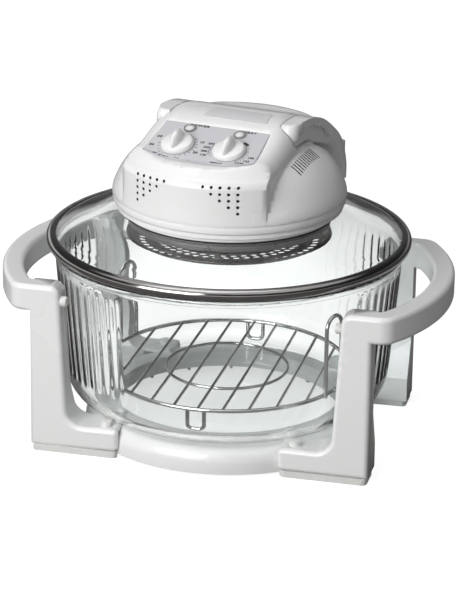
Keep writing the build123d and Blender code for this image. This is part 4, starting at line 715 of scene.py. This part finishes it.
join(punch, (punch_in.outputs["Hole Radius"], punch_tool.inputs["Radius"]),
     (punch_in.outputs["Hole Sides"], punch_tool.inputs["Vertices"]),
     (punch_in.outputs["Floor Height"], punch_lift.inputs["Z"]),
     (punch_lift.outputs[0], punch_move.inputs["Translation"]),
     (punch_join.outputs[0], punch_move.inputs["Geometry"]),
     (punch_move.outputs[0], punch_place.inputs["Points"]),
     (punch_tool.outputs["Mesh"], punch_place.inputs["Instance"]),
     (punch_place.outputs[0], punch_real.inputs[0]),
     (punch_in.outputs["Sheet"], punch_cut.inputs["Mesh 1"]),
     (punch_real.outputs[0], punch_cut.inputs["Mesh 2"]),
     (punch_cut.outputs[0], punch_all.inputs[0]),
     (punch_all.outputs[0], punch_paint.inputs["Geometry"]),
     (punch_in.outputs["Finish"], punch_paint.inputs["Material"]),
     (punch_paint.outputs[0], punch_out.inputs[0]))
punch_socket = {item.name: item.identifier for item in punch.interface.items_tree
                if item.in_out == "INPUT"}


def grown(draft, tree, settings, name, body, sharp):
    """The plain mesh that a geometry tree makes from a draft, as a finished piece."""
    modifier = draft.modifiers.new("tree", "NODES")
    modifier.node_group = tree
    for key, value in settings.items():
        modifier[key] = value
    mesh = mesh_of(draft)
    mesh.name = name
    for polygon in mesh.polygons:
        polygon.use_smooth = True
    mesh.set_sharp_from_angle(angle=math.radians(sharp))
    piece = show(bpy.data.objects.new(name, mesh))
    bpy.data.objects.remove(draft)
    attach(piece, body)
    return piece


guard_piece = grown(guard_draft, punch,
                    {punch_socket["Hole Radius"]: 0.0030, punch_socket["Floor Height"]: guard_low,
                     punch_socket["Hole Sides"]: 20, punch_socket["Finish"]: guard_steel},
                    "heater_guard_finish", "lid", 32.0)
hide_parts("heater_guard")


# ------------------------------------------------ motor and fans
# A small shaded-pole motor above the plate turns two stamped fans on one shaft: the large one
# moves the hot air and the small one cools the housing.
motor_iron = finish_of("motor_iron", (0.22, 0.23, 0.24), 0.5, depth=0.3, size=80.0, spread=0.2,
                       grain=900.0, bump=0.15, metallic=0.7)
paint("motor", motor_iron)
fan_aluminium = finish_of("fan_aluminium", (0.68, 0.68, 0.69), 0.3, depth=0.12, size=60.0,
                          spread=0.15, grain=1400.0, bump=0.06, metallic=1.0)
for node in ("convection_fan", "cooling_fan"):
    smoothed(node, "fan", fan_aluminium)
paint("motor_bracket", plate_steel)


# ------------------------------------------------ head housing
# One white moulding makes the top of the head: a low round dome with a broad saddle across it,
# which slopes forward under the controls.  Its inside, and the walls of its vents and louvres, are
# coloured near-black as painted shade.
# painted shade: a near-black finish for the inside of the white housing
housing_painted_shade = finish_of("housing_painted_shade", (0.05, 0.048, 0.046), 0.7, depth=0.4, size=60.0,
                           spread=0.2, grain=900.0, bump=0.1)
housing = smoothed("head_housing", "lid", white_plastic, sharp=38.0)
housing.data.materials.append(housing_painted_shade)
head_core = Vector((0.0, 0.0, 0.236))
housing_foot, inward = 0.2176, -0.2
head_turn = Matrix.Rotation(math.radians(-9.57), 4, "Z")
head_back = head_turn.inverted()


def in_louvre(spot, facing):
    """Whether a face, in the head's own directions, is a side wall of a louvre."""
    return 0.068 < abs(spot.x) < 0.084 and 0.246 < spot.z < 0.278 and abs(facing.y) > 0.93


def in_vent(spot, facing):
    """Whether a face, in the head's own directions, is the wall of a vent hole in the front."""
    return (abs(spot.x) < 0.058 and spot.y < -0.072 and 0.226 < spot.z < 0.264
            and abs(facing.y) < 0.35)


# painted shade: inside faces and the walls of the louvres and vents take the near-black finish,
# standing in for the dark within the head
for polygon in housing.data.polygons:
    outward = polygon.center - head_core
    spot = head_back @ polygon.center
    facing = head_back @ polygon.normal
    inside = (polygon.normal.dot(outward) < inward * outward.length
              and polygon.center.z > housing_foot)
    if inside or in_louvre(spot, facing) or in_vent(spot, facing):
        polygon.material_index = 1

above_head = Vector((0.0, 0.0, 0.4))
straight_down = Vector((0.0, 0.0, -1.0))
work = bmesh.new()
work.from_mesh(housing.data)
housing_tree = BVHTree.FromBMesh(work)
work.free()
crest_grey = finish_of("crest_plate", (0.70, 0.70, 0.71), 0.3, depth=0.05, size=40.0, spread=0.1,
                       grain=2000.0, bump=0.03)
crest_corners = [Vector((-0.0205, -0.0150, 0.0)), Vector((0.0405, -0.0150, 0.0)),
                 Vector((0.0380, 0.0050, 0.0)), Vector((-0.0180, 0.0050, 0.0))]
crest_columns, crest_rows, crest_proud, crest_sunk = 30, 8, 0.0004, 0.0003
crest_points, crest_faces = [], []
for lift in (crest_proud, -crest_sunk):
    for row in range(crest_rows + 1):
        left = crest_corners[0].lerp(crest_corners[3], row / crest_rows)
        right = crest_corners[1].lerp(crest_corners[2], row / crest_rows)
        for column in range(crest_columns + 1):
            place = head_turn @ left.lerp(right, column / crest_columns)
            found = housing_tree.ray_cast(place + above_head, straight_down)
            crest_points.append(found[0] + found[1] * lift)
wide = crest_columns + 1
layer = wide * (crest_rows + 1)
for row in range(crest_rows):
    for column in range(crest_columns):
        corner = row * wide + column
        top = (corner, corner + 1, corner + wide + 1, corner + wide)
        crest_faces += [top, tuple(layer + i for i in top[::-1])]
border = ([(i, i + 1) for i in range(crest_columns)]
          + [(crest_columns + wide * i, crest_columns + wide * (i + 1)) for i in range(crest_rows)]
          + [(layer - 1 - i, layer - 2 - i) for i in range(crest_columns)]
          + [(layer - wide - wide * i, layer - wide - wide * (i + 1)) for i in range(crest_rows)])
for start, end in border:
    crest_faces.append((end, start, layer + start, layer + end))
piece_of("crest_plate", crest_points, crest_faces, crest_grey, "lid", sharp=35.0)


# ------------------------------------------------ carrying handle
# A white handle folds back round the head on two moulded pins.  Its right pin carries the cam that
# works the safety switch.
smoothed("carry_handle", "handle", white_plastic)
smoothed("pivot_pins", "handle", white_plastic)


# ------------------------------------------------ control panel and its printing
# A grey plate is let into the slope of the saddle under a printed film that runs on to the rounded
# front.  Scales, numbers and plain words stand round the two controls and the signal lamps.
panel_grey = finish_of("panel_plastic", (0.60, 0.60, 0.625), 0.42, depth=0.05, size=30.0,
                       spread=0.12, grain=2200.0, bump=0.06)
smoothed("control_panel", "lid", panel_grey)
bezel_chrome = finish_of("bezel_chrome", (0.42, 0.42, 0.43), 0.14, depth=0.12, size=300.0,
                         spread=0.1, grain=2400.0, bump=0.04, metallic=1.0)
smoothed("lamp_bezels", "lid", bezel_chrome)
lamp_lens = finish_of("lamp_lens", (0.88, 0.88, 0.87), 0.12, depth=0.06, size=260.0, spread=0.08,
                      grain=900.0, bump=0.25, Transmission_Weight=0.2, Coat_Weight=0.6)
smoothed("lamp_lenses", "lid", lamp_lens)
neon = glass_of("neon", (0.95, 0.85, 0.78), rough=0.03, waviness=0.05, wave_size=100.0, ior=1.5)
smoothed("neon_lamps", "lid", neon)

panel_ink = finish_of("panel_ink", (0.022, 0.022, 0.024), 0.45, depth=0.3, size=500.0, spread=0.2,
                      grain=3000.0, bump=0.05)
panel_slope = math.radians(18.1)
slope_height, slope_origin = 0.2709, -0.090
panel_proud = 0.0003
plate_front, plate_bend, gap_reach = -0.0808, 3.23, 0.0005
film_sheet, film_glue = 0.00015, 0.00002
ink_depth = 0.00004
time_place, heat_place = (-0.0246, -0.0605), (0.0246, -0.0605)


def slope_at(y):
    """Height of the plate's face."""
    return slope_height + math.tan(panel_slope) * (y - slope_origin)


def on_slope(x, y, lift):
    """A point over the plate, or over the rounded front where the film runs past the plate."""
    height = slope_at(y)
    if y < plate_front + plate_bend * x * x:
        heights = []
        for step in (-gap_reach, 0.0, gap_reach):
            above = head_turn @ Vector((x, y + step, above_head.z))
            heights.append(housing_tree.ray_cast(above, straight_down)[0].z)
        height = max(heights) + panel_proud
    return head_turn @ Vector((x, y, height + lift))


film_columns, film_rows = 64, 40
film_back, film_corner, film_bow = -0.0278, -0.0722, 0.0128
film_half, film_flare, spindle_room = 0.0491, 0.0032, 0.006
film_points, film_faces, film_edges = [], [], {}
for lift in (film_sheet, film_glue):
    for row in range(film_rows + 1):
        down = row / film_rows
        for column in range(film_columns + 1):
            across = 2 * column / film_columns - 1
            front = film_corner - film_bow * (1 - abs(across) ** 3)
            film_points.append(on_slope(across * (film_half + film_flare * down),
                                        film_back + (front - film_back) * down, lift))
film_layer = len(film_points) // 2
spindle_spots = [on_slope(*place, film_sheet) for place in (time_place, heat_place)]
for row in range(film_rows):
    for column in range(film_columns):
        corner = row * (film_columns + 1) + column
        cell = (corner, corner + film_columns + 1, corner + film_columns + 2, corner + 1)
        middle = (film_points[cell[0]] + film_points[cell[2]]) / 2
        if min((middle - spot).length for spot in spindle_spots) < spindle_room:
            continue
        film_faces += [cell, tuple(film_layer + i for i in cell[::-1])]
        for start, end in zip(cell, cell[1:] + cell[:1]):
            if film_edges.pop((end, start), None) is None:
                film_edges[(start, end)] = True
film_faces += [(end, start, film_layer + start, film_layer + end) for start, end in film_edges]
piece_of("panel_film", film_points, film_faces, panel_grey, "lid", sharp=35.0)

ink = bmesh.new()


def print_words(words, x, y, size, bold, gap=1.1, width=1.0):
    """One line of letters, centred on a spot of the panel and laid on its film."""
    letters = bpy.data.curves.new("letters", "FONT")
    letters.body = words
    letters.size = size
    letters.align_x = "CENTER"
    letters.align_y = "CENTER"
    letters.space_character = gap
    letters.offset = bold
    letters.extrude = ink_depth / 2
    letters.resolution_u = 3
    draft = show(bpy.data.objects.new("letters", letters))
    flat = mesh_of(draft)
    for vert in flat.vertices:
        vert.co = on_slope(x + width * vert.co.x, y + math.cos(panel_slope) * vert.co.y,
                           film_sheet + ink_depth / 2 + vert.co.z)
    ink.from_mesh(flat)
    bpy.data.objects.remove(draft)
    bpy.data.meshes.remove(flat)


def round_knob(middle, radius, angle):
    """A place on the panel at a radius and an angle in degrees round a knob."""
    turn = math.radians(angle)
    return (middle[0] + radius * math.cos(turn),
            middle[1] + radius * math.sin(turn) * math.cos(panel_slope))


def print_arc(middle, inner, outer, start, end, steps):
    """A flat curved bar round a knob, between two angles in degrees."""
    section = ((inner, 0.0), (outer, 0.0), (outer, ink_depth), (inner, ink_depth))
    rings = []
    for step in range(steps + 1):
        angle = start + (end - start) * step / steps
        rings.append([ink.verts.new(on_slope(*round_knob(middle, radius, angle), film_sheet + lift))
                      for radius, lift in section])
    for low, high in zip(rings, rings[1:]):
        for i in range(4):
            ink.faces.new((low[i], low[(i + 1) % 4], high[(i + 1) % 4], high[i]))
    ink.faces.new(rings[0][::-1])
    ink.faces.new(rings[-1])


word_bold = 0.00022
print_words("POWER", -0.0168, -0.0294, 0.0040, word_bold, gap=1.2, width=1.2)
print_words("HEAT", 0.0312, -0.0298, 0.0040, word_bold, gap=1.15, width=1.15)
print_words("TIME", -0.0300, -0.0793, 0.0042, 0.00024, gap=1.12)
print_words("TEMP", 0.0195, -0.0786, 0.0048, word_bold, gap=1.06)
for label, angle, radius in (("60", 156.0, 0.0232), ("50", 190.0, 0.0236), ("40", 226.0, 0.0222),
                             ("30", 289.0, 0.0208), ("20", 340.0, 0.0212), ("10", 24.0, 0.0216)):
    print_words(label, *round_knob(time_place, radius, angle), 0.0041, word_bold)
for label, angle, radius in (("250", 157.0, 0.0222), ("225", 173.0, 0.0226),
                             ("200", 188.0, 0.0228), ("175", 203.0, 0.0232),
                             ("125", 334.0, 0.0220), ("100", 349.0, 0.0224)):
    print_words(label, *round_knob(heat_place, radius, angle), 0.0037, word_bold)
print_words("LOW", 0.0395, -0.0735, 0.0032, 0.00018)
mark_foot, mark_end, long_mark_end, heat_mark_end = 0.0163, 0.0177, 0.0186, 0.0176
time_mark_half, heat_mark_half = 1.1, 1.0
for angle in list(range(-195, -119, 15)) + list(range(-75, 76, 15)):
    print_arc(time_place, mark_foot, mark_end if angle % 45 else long_mark_end,
              angle - time_mark_half, angle + time_mark_half, 1)
for angle in list(range(150, 216, 9)) + list(range(-50, 16, 9)):
    print_arc(heat_place, mark_foot, heat_mark_end,
              angle - heat_mark_half, angle + heat_mark_half, 1)
# a line along the hottest numbers, and a bar above each knob
print_arc(heat_place, 0.0183, 0.0189, 158.0, 204.0, 16)
print_arc(heat_place, 0.0166, 0.0196, 46.0, 68.0, 12)
print_arc(time_place, 0.0165, 0.0182, 70.0, 86.0, 6)
bmesh.ops.recalc_face_normals(ink, faces=ink.faces)
ink_mesh = bpy.data.meshes.new("panel_printing")
ink.to_mesh(ink_mesh)
ink.free()
ink_mesh.materials.clear()
ink_mesh.materials.append(panel_ink)
for polygon in ink_mesh.polygons:
    polygon.material_index = 0
panel_printing = show(bpy.data.objects.new("panel_printing", ink_mesh))
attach(panel_printing, "lid")


# ------------------------------------------------ knobs
# Two white knobs, pushed on to the spindles of the timer and the thermostat: a low round skirt that
# narrows upwards, and a leaf-shaped grip with a half-round back standing across it.
knob_skirt = [(0.0, 0.0008), (0.01480, 0.0008), (0.01500, 0.0012), (0.01455, 0.0031),
              (0.01415, 0.0042), (0.01350, 0.0049), (0.01250, 0.0053), (0.00700, 0.0056),
              (0.0, 0.0057)]
knob_steps = 96
grip_reach, grip_back, grip_waist, grip_foot = 0.0129, 0.0100, 0.0046, 0.0046
grip_steps, grip_layers = 28, 10
leaf_point, grip_taper, grip_fullness = 1.25, 0.18, 0.985
crown_start, crown_pinch = 0.55, 0.62


def grip_ring(rise):
    """One level of the grip, from 0 at the skirt to 1 at its back: a leaf that shortens upwards."""
    lean = math.sqrt(max(0.0, 1.0 - (grip_fullness * rise) ** 2))
    crown = 1.0 - crown_pinch * (max(0.0, rise - crown_start) / (1.0 - crown_start)) ** 2
    ring = []
    for step in range(2 * grip_steps):
        turn = math.pi * step / grip_steps
        across = math.copysign(abs(math.sin(turn)) ** leaf_point, math.sin(turn))
        ring.append(Vector((grip_waist * across * crown * (1.0 - grip_taper * rise),
                            grip_reach * math.cos(turn) * lean, grip_foot + grip_back * rise)))
    return ring


for side, (x, y) in (("time", time_place), ("heat", heat_place)):
    skirt = lathe_mesh(side + "_knob_skirt", knob_skirt, knob_steps)
    knob_points = [vert.co.copy() for vert in skirt.vertices]
    knob_faces = [tuple(polygon.vertices) for polygon in skirt.polygons]
    bpy.data.meshes.remove(skirt)
    first, around = len(knob_points), 2 * grip_steps
    for level in range(grip_layers + 1):
        knob_points += grip_ring(level / grip_layers)
    for level in range(grip_layers):
        low = first + level * around
        for step in range(around):
            after = (step + 1) % around
            knob_faces.append((low + step, low + after, low + around + after, low + around + step))
    knob_faces.append(tuple(range(first + around - 1, first - 1, -1)))
    knob_faces.append(tuple(range(len(knob_points) - around, len(knob_points))))
    spot = (head_turn @ Matrix.Translation((x, y, slope_at(y)))
            @ Matrix.Rotation(panel_slope, 4, "X"))
    knob_piece = piece_of(side + "_knob_finish", [spot @ point for point in knob_points],
                          knob_faces, white_plastic, side + "_control", sharp=40.0)
    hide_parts(side + "_knob")
    smoothed(side + "_spindle", side + "_control", screw_steel)


# ------------------------------------------------ controls and wiring inside the head
# The timer, the thermostat, the safety switch with its plunger, and the terminal block are moulded
# housings screwed inside the head; the cord gland closes the hole at the back.
black_plastic = finish_of("black_plastic", (0.045, 0.045, 0.045), 0.4, depth=0.3, size=90.0,
                          spread=0.15, grain=1500.0, bump=0.08)
for node in ("timer", "thermostat", "safety_switch"):
    paint(node, black_plastic)
smoothed("cord_gland", "lid", black_plastic)
paint("switch_bracket", white_plastic)
smoothed("switch_plunger", "plunger", white_plastic)
terminal_nylon = finish_of("terminal_nylon", (0.80, 0.80, 0.77), 0.5, depth=0.12, size=120.0,
                           spread=0.15, grain=1500.0, bump=0.08)
paint("terminal_block", terminal_nylon)
